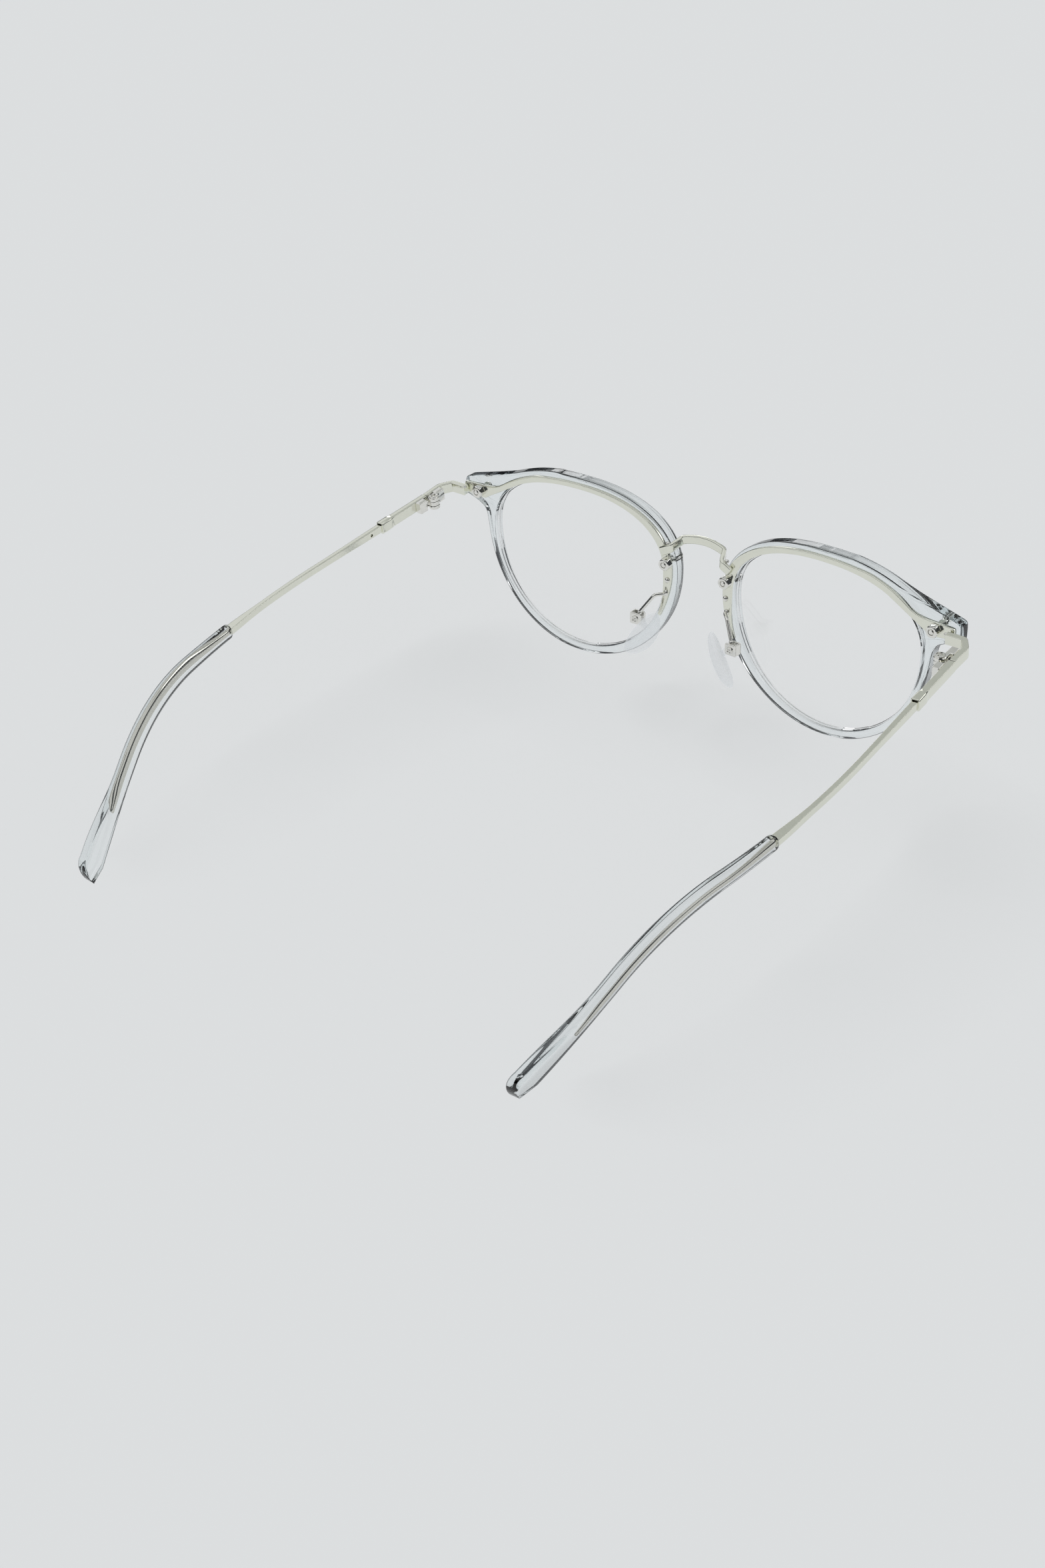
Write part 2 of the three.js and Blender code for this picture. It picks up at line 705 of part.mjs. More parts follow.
function makeHingeScrew() {
  const low = -stackHeight / 2;
  const seat = stackHeight / 2 + barrelGap;
  const screw = pin(hingeScrewShank, low, hingeScrewHead, seat, hingeScrewHeadHeight, new THREE.Vector3());
  screw.rotateX(Math.PI / 2);
  return screw;
}

// The end piece lies behind the plate's leaf, turns back and ends at the butt joint
function makeEndPiece() {
  const lean = Math.sin(pantoscopicTilt) * (hinge.z - frontHeight / 2);
  const wrapBack = (outerScrew.x + nutAcross) * Math.sin(faceForm);
  const legY = wrapBack + plateBack / Math.cos(pantoscopicTilt) + seatGap - lean;
  const middleY = legY + endPieceThickness / 2 - hinge.y;
  const startX = outerScrew.x + nutAcross / 2 + endPieceNutGap - hinge.x;
  const path = [
    new THREE.Vector3(startX, middleY, 0),
    new THREE.Vector3(endPieceCornerOut - endPieceThickness / 2, middleY, 0),
    new THREE.Vector3(endPieceCornerOut, middleY + endPieceThickness / 2, 0),
    new THREE.Vector3(frontMiddle, -buttGap / 2 - endPieceStraight - leafLength / 2, 0),
    new THREE.Vector3(frontMiddle, -buttGap / 2, 0),
  ];
  return ribbon(path, endPieceThickness, frontHeight);
}

// Straight bar with a rectangular section, from one place along the temple to another
function straightBar(thickness, height, yFront, yBack) {
  const bar = new THREE.BoxGeometry(thickness, yBack - yFront, height);
  bar.translate(frontMiddle, (yFront + yBack) / 2, 0);
  return bar;
}

const frontStart = buttGap / 2;
const frontEnd = frontStart + frontLength + collarOverlap;
const collarStart = frontStart + frontLength;
const barStart = frontEnd + seatGap;

function makeTempleFront() {
  return straightBar(frontThickness, frontHeight, frontStart, frontEnd);
}

function makeCollar() {
  const gap = 2 * sleeveClearance;
  return cut(
    straightBar(collarThickness, collarHeight, collarStart, collarStart + collarLength),
    straightBar(frontThickness + gap, frontHeight + gap, collarStart - cutOver, frontEnd + sleeveClearance),
    straightBar(barThickness + gap, barHeight + gap, frontEnd, collarStart + collarLength + cutOver),
  );
}

// Line of the temple at a distance along it from the hinge, with its slope down
function templeLine(along) {
  const bent = THREE.MathUtils.clamp((along - bendStart) / bendRadius, 0, bendAngle);
  const past = Math.max(0, along - bendStart - bendRadius * bendAngle);
  const y = Math.min(along, bendStart) + bendRadius * Math.sin(bent) + past * Math.cos(bendAngle);
  const z = -bendRadius * (1 - Math.cos(bent)) - past * Math.sin(bendAngle);
  const x = frontMiddle - Math.max(0, y - bowStart) ** 2 / (2 * bowRadius);
  return { place: new THREE.Vector3(x, y, z), slope: bent };
}

const templeLength = bendStart + bendRadius * bendAngle + tipStraight;
const coreEnd = templeLength - coreShort;

// Loop round the temple's line with a section that runs from square to round
function sectionLoop(along, thickness, height, corners, exponent, lift = 0) {
  const { place, slope } = templeLine(along);
  return corners.map((a) => {
    const c = Math.cos(a);
    const s = Math.sin(a);
    const reach = (Math.abs(c) ** exponent + Math.abs(s) ** exponent) ** (-1 / exponent);
    const across = (thickness / 2) * reach * c;
    const up = (height / 2) * reach * s + lift;
    return new THREE.Vector3(across, up * Math.sin(slope), up * Math.cos(slope)).add(place);
  });
}

const barCorners = [0.25, 0.75, 1.25, 1.75].map((turn) => turn * Math.PI);
const tipCorners = anglesFrom(0, 2 * Math.PI, Math.PI / 6).slice(0, -1);

function makeTempleBar() {
  const shoulder = tipStart - seatGap;
  const bar = (along) => sectionLoop(along, barThickness, barHeight, barCorners, barExponent);
  const core = (along) => sectionLoop(along, coreThickness, coreHeight, barCorners, barExponent);
  return skin([
    ...anglesFrom(barStart, shoulder, barStep).map(bar),
    ...anglesFrom(shoulder, coreEnd, coreStep).map(core),
  ]);
}

// The tip keeps a straight lower edge, swells upward to a paddle and has a rounded end
function makeTempleTip() {
  const paddleStart = templeLength - paddleLength;
  const size = (along, narrow, wide) => {
    const share = THREE.MathUtils.smoothstep(along, paddleStart, templeLength - tipEndRound);
    return THREE.MathUtils.lerp(narrow, wide, share);
  };
  const section = (along, thin, low, lowEdge) => {
    const thickness = size(along, tipThickness, paddleThickness) * thin;
    const height = size(along, tipHeight, paddleHeight) * low;
    const exponent = size(along, tipExponent, paddleExponent);
    return sectionLoop(along, thickness, height, tipCorners, exponent, lowEdge + height / 2);
  };
  const endSection = (turn) => {
    const along = templeLength - tipEndRound * (1 - Math.sin(turn));
    const thin = THREE.MathUtils.lerp(tipEndShare, 1, Math.cos(turn));
    return section(along, thin, Math.cos(turn), tipEndRise * Math.sin(turn) - tipHeight / 2);
  };
  const shaft = anglesFrom(tipStart + tipMouthLength, templeLength - tipEndRound, tipStep).slice(0, -1);
  const body = skin([
    section(tipStart, tipMouthShare, tipMouthShare, (-tipMouthShare * tipHeight) / 2),
    ...shaft.map((along) => section(along, 1, 1, -tipHeight / 2)),
    ...anglesFrom(0, tipEndTurn, tipEndTurn / 3).map(endSection),
  ]);
  const bore = (along) => sectionLoop(
    along, coreThickness + 2 * coreClearance, coreHeight + 2 * coreClearance, barCorners, barExponent,
  );
  return cut(body, skin(anglesFrom(tipStart - cutOver, coreEnd + 2 * coreClearance, coreStep).map(bore)));
}

// Scene graph: the front is tilted and wrapped, the temples hang on its hinges
const glasses = new THREE.Group();
const posture = new THREE.Group();
const front = new THREE.Group();
front.rotation.x = pantoscopicTilt;
glasses.add(posture);
posture.add(front);

function addPiece(group, name, geometry, finish) {
  const mesh = new THREE.Mesh(geometry, new THREE.MeshStandardMaterial(finish));
  mesh.name = name;
  group.add(mesh);
  return mesh;
}

const frontPieces = [
  ['rim', makeRim(), clearPlastic],
  ['lens', makeLens(), lensClear],
  ['brow_plate', makeBrowPlate(), champagne],
  ['outer_rim_screw', makeRimScrew(outerScrew), silver],
  ['nose_rim_screw', makeRimScrew(noseScrew), silver],
  ['outer_nut', makeNut(outerScrew), silver],
  ['nose_nut', makeNut(noseScrew), silver],
  ['plate_rivet', makeRivet(), silver],
  ['pad_arm', makePadArm(), silver],
  ['pad_box', makePadBox(), silver],
  ['pad_screw', makePadScrew(), silver],
  ['nose_pad', makeNosePad(), silicone],
];
const hingePieces = [
  ['end_piece', makeEndPiece(), champagne],
  ['front_hinge_leaf', makeFrontLeaf(), silver],
  ['hinge_screw', makeHingeScrew(), silver],
];
const templePieces = [
  ['temple_hinge_leaf', makeTempleLeaf(), silver],
  ['temple_front', makeTempleFront(), champagne],
  ['temple_collar', makeCollar(), champagne],
  ['temple_bar', makeTempleBar(), champagne],
  ['temple_tip', makeTempleTip(), clearPlastic],
];

addPiece(front, 'bridge', makeBridge(), champagne);
for (const [side, sign] of [['left', 1], ['right', -1]]) {
  const wrapped = new THREE.Group();
  wrapped.rotation.z = sign * faceForm;
  front.add(wrapped);
  const hinged = new THREE.Group();
  hinged.position.set(sign * hinge.x, hinge.y, hinge.z);
  posture.add(hinged);
  const temple = new THREE.Group();
  temple.rotation.set(templeRise, 0, -sign * templeSplay);
  hinged.add(temple);
  for (const [group, pieces] of [[wrapped, frontPieces], [hinged, hingePieces], [temple, templePieces]]) {
    for (const [name, geometry, finish] of pieces) {
      addPiece(group, `${side}_${name}`, sign > 0 ? geometry : mirrored(geometry), finish);
    }
  }
}

// The glasses stand on the bottoms of the rims and the ends of the temple tips
function pointsOf(names) {
  glasses.updateMatrixWorld(true);
  return names.flatMap((name) => {
    const mesh = glasses.getObjectByName(name);
    const place = mesh.geometry.getAttribute('position');
    const corner = (_, i) => mesh.localToWorld(new THREE.Vector3().fromBufferAttribute(place, i));
    return Array.from({ length: place.count }, corner);
  });
}

function restAngle() {
  const rims = pointsOf(['left_rim', 'right_rim']);
  const tips = pointsOf(['left_temple_tip', 'right_temple_tip']);
  const height = (p, turn) => p.y * Math.sin(turn) + p.z * Math.cos(turn);
  const lowest = (points, turn) => Math.min(...points.map((p) => height(p, turn)));
  let low = -restLimit;
  let high = restLimit;
  while (high - low > restStep) {
    const turn = (low + high) / 2;
    if (lowest(tips, turn) > lowest(rims, turn)) high = turn;
    else low = turn;
  }
  return low;
}

posture.rotation.x = restAngle();
glasses.updateMatrixWorld(true);
const box = new THREE.Box3().setFromObject(glasses, true);
const middle = box.getCenter(new THREE.Vector3());
glasses.position.set(-middle.x, -middle.y, -box.min.z);

export default glasses;
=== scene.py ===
import json
import math
import bpy
import numpy as np
from mathutils import Matrix


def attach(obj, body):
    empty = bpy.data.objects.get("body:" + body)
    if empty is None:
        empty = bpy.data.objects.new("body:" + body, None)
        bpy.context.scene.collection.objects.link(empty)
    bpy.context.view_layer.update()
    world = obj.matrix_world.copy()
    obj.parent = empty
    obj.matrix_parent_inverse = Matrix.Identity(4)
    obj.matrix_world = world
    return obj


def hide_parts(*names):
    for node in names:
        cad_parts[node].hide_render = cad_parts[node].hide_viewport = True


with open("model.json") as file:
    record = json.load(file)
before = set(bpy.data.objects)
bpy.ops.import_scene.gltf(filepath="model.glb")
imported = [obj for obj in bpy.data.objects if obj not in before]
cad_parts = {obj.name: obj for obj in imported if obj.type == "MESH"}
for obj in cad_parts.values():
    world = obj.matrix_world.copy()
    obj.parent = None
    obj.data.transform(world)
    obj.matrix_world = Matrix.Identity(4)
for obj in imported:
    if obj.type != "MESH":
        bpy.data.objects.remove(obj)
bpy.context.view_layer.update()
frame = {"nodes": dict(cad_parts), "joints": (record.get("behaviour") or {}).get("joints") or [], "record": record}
print("frame loaded with", len(frame["nodes"]), "nodes")

bodyOf = {node: body for body, nodes in frame["record"]["behaviour"]["bodies"].items() for node in nodes}

# how the front, the temples and the whole pair stand, in degrees and millimetres
stand = {
    "tilt": 8.5,
    "wrap": 2.5,
    "splay": 2.3,
    "rise": 0.75,
    "hinge": (66.5, 7.7, 34.55),
}


# turn about one axis: the cosine stays on the other two axes, and the sine carries one to the other
def turn(axis, degrees):
    c, s = math.cos(math.radians(degrees)), math.sin(math.radians(degrees))
    this = "xyz".index(axis)
    near, far = (this + 1) % 3, (this + 2) % 3
    matrix = np.eye(3)
    matrix[near, near] = matrix[far, far] = c
    matrix[near, far], matrix[far, near] = -s, s
    return matrix


# the left fold joint says how the pair was turned and moved to rest on its rims and tips
foldJoint = next(joint for joint in frame["joints"] if joint["name"] == "left_temple_fold")
restTurn = -math.degrees(math.atan2(foldJoint["axis"][1], foldJoint["axis"][2]))
hingeAt = np.array(stand["hinge"])
restShift = 1000 * np.array(foldJoint["pos_m"]) - turn("x", restTurn) @ hingeAt


# from the pair's upright frame, in millimetres, to where it rests: the rest turn and then the shift
def fromPosture(points):
    return points @ turn("x", restTurn).T + restShift


# from the front's own frame: its tilt about x
def fromFront(points):
    return fromPosture(points @ turn("x", stand["tilt"]).T)


# from the frame of one half of the front: its wrap about z
def fromWrap(points):
    return fromFront(points @ turn("z", stand["wrap"]).T)


# from the hinge's frame: the hinge's place added
def fromHinge(points):
    return fromPosture(points + hingeAt)


# from the temple's frame: its splay about z and its rise about x
def fromTemple(points):
    return fromHinge(points @ (turn("x", stand["rise"]) @ turn("z", -stand["splay"])).T)


# faces turned outward: the signed volume of all triangles tells whether to reverse them
def outward(points, quads, tris):
    fan = np.vstack([quads[:, [0, 1, 2]], quads[:, [0, 2, 3]], tris])
    a, b, c = points[fan[:, 0]], points[fan[:, 1]], points[fan[:, 2]]
    if np.einsum("ij,ij->i", a, np.cross(b, c)).sum() < 0:
        quads, tris = quads[:, ::-1], tris[:, ::-1]
    return points, quads, tris


# skin over a grid of closed loops: quads join each loop to the next, and the ends meet or close to a middle
def loft(grid, ring=False):
    loops, count = grid.shape[:2]
    index = np.arange(loops * count).reshape(loops, count)
    here = index if ring else index[:-1]
    there = np.roll(index, -1, 0) if ring else index[1:]
    quads = np.stack([here, np.roll(here, -1, 1), np.roll(there, -1, 1), there], -1).reshape(-1, 4)
    points = grid.reshape(-1, 3)
    tris = np.zeros((0, 3), int)
    if not ring:
        points = np.vstack([points, grid[0].mean(0), grid[-1].mean(0)])
        first, last = index[0], index[-1]
        startMiddle, endMiddle = np.full(count, loops * count), np.full(count, loops * count + 1)
        startFan = np.stack([startMiddle, np.roll(first, -1), first], -1)
        endFan = np.stack([endMiddle, last, np.roll(last, -1)], -1)
        tris = np.vstack([startFan, endFan])
    return outward(points, quads, tris)


# one object from closed shells, taken from their frame, riding with its node's body and standing for that node
def addPiece(name, shells, place, finish, node, mirror=False, stands=True, sharp=32, clear=False):
    points, faces, base = [], [], 0
    side, order = ((-1, 1, 1), -1) if mirror else (1, 1)  # mirrored faces run the other way round
    for shellPoints, quads, tris in shells:
        points.append(shellPoints)
        faces += (quads + base)[:, ::order].tolist() + (tris + base)[:, ::order].tolist()
        base += len(shellPoints)
    mesh = bpy.data.meshes.new(name)
    mesh.from_pydata((place(np.vstack(points)) / 1000 * side).tolist(), [], faces)
    mesh.polygons.foreach_set("use_smooth", np.ones(len(faces), bool))
    mesh.set_sharp_from_angle(angle=math.radians(sharp))
    mesh.materials.append(finish)
    mesh.update()
    piece = bpy.data.objects.new(name, mesh)
    bpy.context.scene.collection.objects.link(piece)
    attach(piece, bodyOf[node])
    if stands:
        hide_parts(node)
    piece.visible_shadow = not clear
    piece.visible_diffuse = not clear


# one shape on both sides: as it is on the left, and mirrored in x on the right
def addPair(base, shells, place, finish, label="shape", **options):
    for side, mirror in (("left", False), ("right", True)):
        addPiece(f"{side}_{base}_{label}", shells, place, finish, f"{side}_{base}", mirror, **options)


# angles at equal steps, once round
def roundTurn(count):
    return np.arange(count) * 2 * math.pi / count


# quarter round of an edge: the ways in from its two faces, one less the sine and one less the cosine
def edgeRound(radius, count):
    turns = np.linspace(0, math.pi / 2, count)
    return radius * np.stack([1 - np.sin(turns), 1 - np.cos(turns)], -1)


# rectangle with rounded corners: four quarter arcs, one after another
def roundRect(width, height, radius, steps=5):
    starts = np.arange(4) * math.pi / 2
    signs = np.array([[1, 1], [-1, 1], [-1, -1], [1, -1]])
    centres = signs * (width / 2 - radius, height / 2 - radius)
    angles = starts[:, None] + np.linspace(0, math.pi / 2, steps)
    arcs = centres[:, None] + radius * np.stack([np.cos(angles), np.sin(angles)], -1)
    return arcs.reshape(-1, 2)


# vectors divided by their lengths
def unit(vectors):
    return vectors / np.linalg.norm(vectors, axis=-1, keepdims=True)


# way run along a line up to each of its points: the sum of the steps before it
def runAlong(line):
    return np.concatenate([[0], np.cumsum(np.linalg.norm(np.diff(line, axis=0), axis=1))])


# path with its corners rounded: a parabola from one leg to the next, tangent to both
def roundedPath(corners, cuts, steps):
    corners = np.array(corners, float)
    before = corners[1:-1] + unit(corners[:-2] - corners[1:-1]) * np.array(cuts)[:, None]
    after = corners[1:-1] + unit(corners[2:] - corners[1:-1]) * np.array(cuts)[:, None]
    t = np.linspace(0, 1, steps)[None, :, None]
    bends = (1 - t) ** 2 * before[:, None] + 2 * t * (1 - t) * corners[1:-1, None] + t**2 * after[:, None]
    return np.vstack([corners[:1], bends.reshape(-1, 3), corners[-1:]])


# smooth line through points: between two of them a cubic whose slopes come from their neighbours
def smoothLine(points, steps):
    p = np.array(points, float)
    p = np.vstack([2 * p[0] - p[1], p, 2 * p[-1] - p[-2]])
    a, b, c, d = (p[i:len(p) - 3 + i, None] for i in range(4))
    t = np.linspace(0, 1, steps, endpoint=False)[None, :, None]
    line = 0.5 * (2 * b + (c - a) * t + (2 * a - 5 * b + 4 * c - d) * t**2 + (3 * b - a - 3 * c + d) * t**3)
    return np.vstack([line.reshape(-1, p.shape[1]), p[-2:-1]])


# sections that stand square to a path, across it by the cross product with an upright way
def sweep(path, sections, upright):
    along = unit(np.gradient(path, axis=0))
    side = unit(np.cross(along, np.array(upright, float)))
    up = unit(np.cross(side, along))
    return loft(path[:, None] + sections[..., :1] * side[:, None] + sections[..., 1:] * up[:, None])


# strip along a path: a rounded rectangle that shrinks by an edge at both ends
def strip(path, width, height, radius, edge):
    path = np.array(path, float)
    start, end = unit(path[1] - path[0]), unit(path[-1] - path[-2])
    path = np.vstack([path[0], path[0] + edge * start, path[1:-1], path[-1] - edge * end, path[-1]])
    scale = np.ones((len(path), 1, 2))
    scale[[0, -1]] = (1 - 2 * edge / width, 1 - 2 * edge / height)
    return sweep(path, roundRect(width, height, radius) * scale, (0, 0, 1))


# circles of the given radii and heights on the z axis
def circles(profile, sides):
    radius, height = np.array(profile, float).T
    a = roundTurn(sides)
    x, y = radius[:, None] * np.cos(a), radius[:, None] * np.sin(a)
    return np.stack([x, y, np.repeat(height[:, None], sides, 1)], -1)


# turned form: circles on an axis through a place, along y or z
def turned(profile, place, axis="y", sides=48):
    grid = circles(profile, sides)
    return loft((grid[..., [0, 2, 1]] if axis == "y" else grid) + np.array(place))


# bead of solder: circles of a ball, stretched and nearly closed at both poles
def bead(radius, place, stretch=(1, 1, 1), sides=20, rings=12):
    pole = math.pi / 2 * 0.96
    lat, lon = np.linspace(-pole, pole, rings)[:, None], roundTurn(sides)[None, :]
    grid = np.stack([np.cos(lat) * np.cos(lon), np.sin(lat) + 0 * lon, np.cos(lat) * np.sin(lon)], -1)
    return loft(radius * grid * np.array(stretch) + np.array(place))


# finishes

# values set on a node's input sockets by their names
def setInputs(node, values):
    for socket, value in values.items():
        node.inputs[socket].default_value = value
    return node


# a finish with its node tree and its shader
def newFinish(name, values):
    finish = bpy.data.materials.new(name)
    finish.use_nodes = True
    tree = finish.node_tree
    return finish, tree, setInputs(tree.nodes["Principled BSDF"], values)


# a new node in a tree
def addNode(tree, kind, values):
    return setInputs(tree.nodes.new(kind), values)


# noise on the object's own coordinates
def addNoise(tree, scale, detail):
    coords = tree.nodes.new("ShaderNodeTexCoord")
    noise = addNode(tree, "ShaderNodeTexNoise", {"Scale": scale, "Detail": detail})
    tree.links.new(coords.outputs["Object"], noise.inputs["Vector"])
    return noise.outputs["Fac"]


# a value carried from its range to the range of a socket, straight or with a soft start and end
def addRange(tree, value, socket, low, high, start=0.0, end=1.0, kind="LINEAR"):
    ends = {"From Min": start, "From Max": end, "To Min": low, "To Max": high}
    span = addNode(tree, "ShaderNodeMapRange", ends)
    span.interpolation_type = kind
    tree.links.new(value, span.inputs["Value"])
    tree.links.new(span.outputs["Result"], socket)


# base colour mixed from two by a factor, whose socket is given back
def addShade(tree, shader, low, high):
    shade = tree.nodes.new("ShaderNodeMix")
    shade.data_type = "RGBA"
    setInputs(shade, {"A": (*low, 1), "B": (*high, 1)})
    tree.links.new(shade.outputs["Result"], shader.inputs["Base Color"])
    return shade.inputs["Factor"]


# shallow bump that follows a value
def addBump(tree, value, shader, strength, distance):
    bump = addNode(tree, "ShaderNodeBump", {"Strength": strength, "Distance": distance})
    tree.links.new(value, bump.inputs["Height"])
    tree.links.new(bump.outputs["Normal"], shader.inputs["Normal"])


# polished metal: faint clouding in colour and gloss, and a fine drawn grain in the bump
def metalFinish(name, colour, rough, cloudScale, grainScale, grainDepth):
    finish, tree, shader = newFinish(name, {"Metallic": 1.0})
    cloud = addNoise(tree, cloudScale, 4.0)
    darker, lighter = [0.965 * c for c in colour], [min(1.0, 1.035 * c) for c in colour]
    tree.links.new(cloud, addShade(tree, shader, darker, lighter))
    addRange(tree, cloud, shader.inputs["Roughness"], rough * 0.8, rough * 1.25, 0.3, 0.7)
    addBump(tree, addNoise(tree, grainScale, 2.0), shader, grainDepth, 0.00002)
    return finish


# clear moulded stuff: light passes through, painted shade darkens its colour edge on, with a tint that grows with
# the way inside
def clearFinish(name, colour, rough, ior, tintColour, tintDensity, wave, edge=None):
    values = {"Base Color": (*colour, 1), "IOR": ior, "Transmission Weight": 1.0}
    finish, tree, shader = newFinish(name, values)
    # painted shade: where the surface is seen edge on the base colour turns dark, in place of the dark edges that
    # reflections give
    if edge:
        edgeShadeColour, start, end = edge
        facing = addNode(tree, "ShaderNodeLayerWeight", {"Blend": 0.5}).outputs["Facing"]
        factor = addShade(tree, shader, colour, edgeShadeColour)
        addRange(tree, facing, factor, 0.0, 1.0, start, end, "SMOOTHSTEP")
    cloud = addNoise(tree, 260.0, 3.0)
    addRange(tree, cloud, shader.inputs["Roughness"], rough * 0.5, rough * 1.5, 0.35, 0.75)
    addBump(tree, cloud, shader, wave, 0.00004)
    if tintDensity > 0:
        tint = {"Color": (*tintColour, 1), "Density": tintDensity}
        inside = addNode(tree, "ShaderNodeVolumeAbsorption", tint)
        tree.links.new(inside.outputs["Volume"], tree.nodes["Material Output"].inputs["Volume"])
    return finish


# soft clear stuff: a pale veil that thickens where it is seen edge on, with faint clouding in its gloss
def siliconeFinish(name, colour, rough, veil, edgeVeil):
    finish, tree, shader = newFinish(name, {"Base Color": (*colour, 1), "IOR": 1.41})
    addRange(tree, addNoise(tree, 240.0, 3.0), shader.inputs["Roughness"], rough * 0.6, rough * 1.4)
    facing = addNode(tree, "ShaderNodeLayerWeight", {"Blend": 0.3}).outputs["Facing"]
    addRange(tree, facing, shader.inputs["Alpha"], veil, edgeVeil)
    return finish


champagne = metalFinish("champagne metal", (0.83, 0.835, 0.74), 0.12, 320.0, 5200.0, 0.05)
silver = metalFinish("silver metal", (0.84, 0.83, 0.79), 0.09, 520.0, 6500.0, 0.04)
# the core's own metal, made darker than the plate's as painted shade for the dark reflections it shows through the
# tip
coreMetal = metalFinish("core wire metal", (0.70, 0.68, 0.62), 0.05, 400.0, 3000.0, 0.02)
# painted shade: a near-black finish for the plug in the collar's mouth, standing in for the shadow in the gap
# round the bar
recess = metalFinish("painted shade in collar mouth", (0.05, 0.05, 0.045), 0.5, 900.0, 4000.0, 0.1)
plastic = {"colour": (0.985, 0.995, 1.0), "rough": 0.01, "ior": 1.49, "wave": 0.03}
plastic["edge"] = ((0.02, 0.022, 0.025), 0.36, 0.8)  # painted shade: its colour edge on, standing in for the dark reflections at the edges, and where that starts and is full
clearRim = clearFinish("clear rim plastic", tintColour=(0.30, 0.56, 0.62), tintDensity=26.0, **plastic)
clearTip = clearFinish("clear tip plastic", tintColour=(0.34, 0.49, 0.51), tintDensity=28.0, **plastic)
lensClear = clearFinish("lens plastic", (1.0, 1.0, 1.0), 0.004, 1.49, (1, 1, 1), 0.0, 0.0)
silicone = siliconeFinish("pad silicone", (0.90, 0.93, 0.96), 0.25, 0.16, 0.6)
print("finishes made")

# rim outline, in the frame of the wrapped front: x out to the temple, z up, y back
rim = {
    "halfWidth": 23.8,
    "above": 14.8,
    "below": 24.6,
    "upperPower": 2.3,
    "lowerPower": 2.0,
    "bridgeGap": 18.4,
    "noseWall": 3.0,
    "templeWall": 1.6,
    "browWall": 2.1,
    "bottomWall": 1.9,
    "depth": 3.4,
    "round": 0.7,
    "innerRound": 0.15,
    "flatKeep": (0.12, 0.04),
    "lowSet": 0.3,
    "lowDepth": 2.4,
    "lowTurns": (196, 236, 312, 352),
    "grooveDepth": 0.6,
    "grooveWidth": 1.3,
    "grooveSet": 1.7,
    "wingReach": 8.6,
    "wingHeight": 4.0,
    "wingLift": 8.1,
    "wingTopSlope": 0.24,
    "wingFall": 2.0,
    "wingUnderSlope": 0.3,
    "wingBlend": 1.6,
    "wingRound": 0.9,
    "wingFade": 0.35,
    "wingFillet": 7.0,
    "filletSines": (-0.6, 0.2),
    "sides": 900,
    "fineSides": 20001,
}
centreX = rim["bridgeGap"] / 2 + rim["halfWidth"]
centreZ = rim["below"] + rim["bottomWall"]
wingEnd = rim["halfWidth"] + rim["wingReach"]
tiny = 1e-6  # keeps divisors above zero


# the greater of two with a round corner: half their sum and half the length of their difference and the blend
def smoothMax(a, b, blend):
    return (a + b + np.hypot(a - b, blend)) / 2


# the lesser of two with a round corner, in the same way
def smoothMin(a, b, blend):
    return (a + b - np.hypot(a - b, blend)) / 2


# share from 0 to 1 between two values, with a soft start and end: three squares less two cubes
def smoothStep(value, low, high):
    t = np.clip((value - low) / (high - low), 0, 1)
    return t * t * (3 - 2 * t)


# reach of a panto oval at each angle: one squared oval above its widest line and another below
def panto(angle, nose, temple, above, below):
    c, s = np.cos(angle), np.sin(angle)
    across = np.abs(c) / np.where(c > 0, temple, nose)
    along = np.abs(s) / np.where(s > 0, above, below)
    power = np.where(s > 0, rim["upperPower"], rim["lowerPower"])
    return (across**power + along**power) ** (-1 / power)


# the lens opening is a panto oval as wide to the nose as to the temple
def openingReach(angle):
    return panto(angle, rim["halfWidth"], rim["halfWidth"], rim["above"], rim["below"])


# the rim's own oval is the opening with a wall on each of its four sides
def rimOval(angle):
    nose, temple = rim["halfWidth"] + rim["noseWall"], rim["halfWidth"] + rim["templeWall"]
    return panto(angle, nose, temple, rim["above"] + rim["browWall"], rim["below"] + rim["bottomWall"])


# the wing's reach is the least of its end, its sloping top and a cap, and it fades before the rim's top
def wingReach(angle):
    c, s = np.cos(angle), np.sin(angle)
    end = wingEnd / np.maximum(c, tiny)
    rise = s + rim["wingTopSlope"] * c
    topLine = rim["wingLift"] + rim["wingHeight"] / 2 + rim["wingTopSlope"] * wingEnd
    top = np.where(rise > tiny, topLine / np.maximum(rise, tiny), end)
    capLine = rim["above"] + rim["browWall"] - rim["wingFall"]
    cap = np.where(s > tiny, capLine / np.maximum(s, tiny), end)
    reach = smoothMin(smoothMin(end, top, rim["wingRound"]), cap, rim["wingRound"])
    return reach * np.where(s > 0, smoothStep(c, 0, rim["wingFade"]), 1.0)


# outer line: the oval joined with the wing, and a wide fillet from its side to the wing's sloping underside
def rimReach(angle):
    c, s = np.cos(angle), np.sin(angle)
    oval = rimOval(angle)
    over = smoothMax(oval, wingReach(angle), rim["wingBlend"])
    fall = rim["wingUnderSlope"] * c - s
    underLine = rim["wingUnderSlope"] * wingEnd - rim["wingLift"] + rim["wingHeight"] / 2
    under = underLine / np.maximum(fall, tiny)
    fillet = rim["wingFillet"] * smoothStep(s, *rim["filletSines"])
    joined = smoothMin(over, smoothMax(oval, under, fillet), rim["wingRound"])
    return np.where(c > 0, np.where(fall > 0, joined, over), oval)


# share of the slimmer section that the rim has below the plate and the wing
def lowShare(angle):
    degrees = np.mod(np.degrees(angle), 360)
    start, full, fade, end = rim["lowTurns"]
    return smoothStep(degrees, start, full) * (1 - smoothStep(degrees, fade, end))


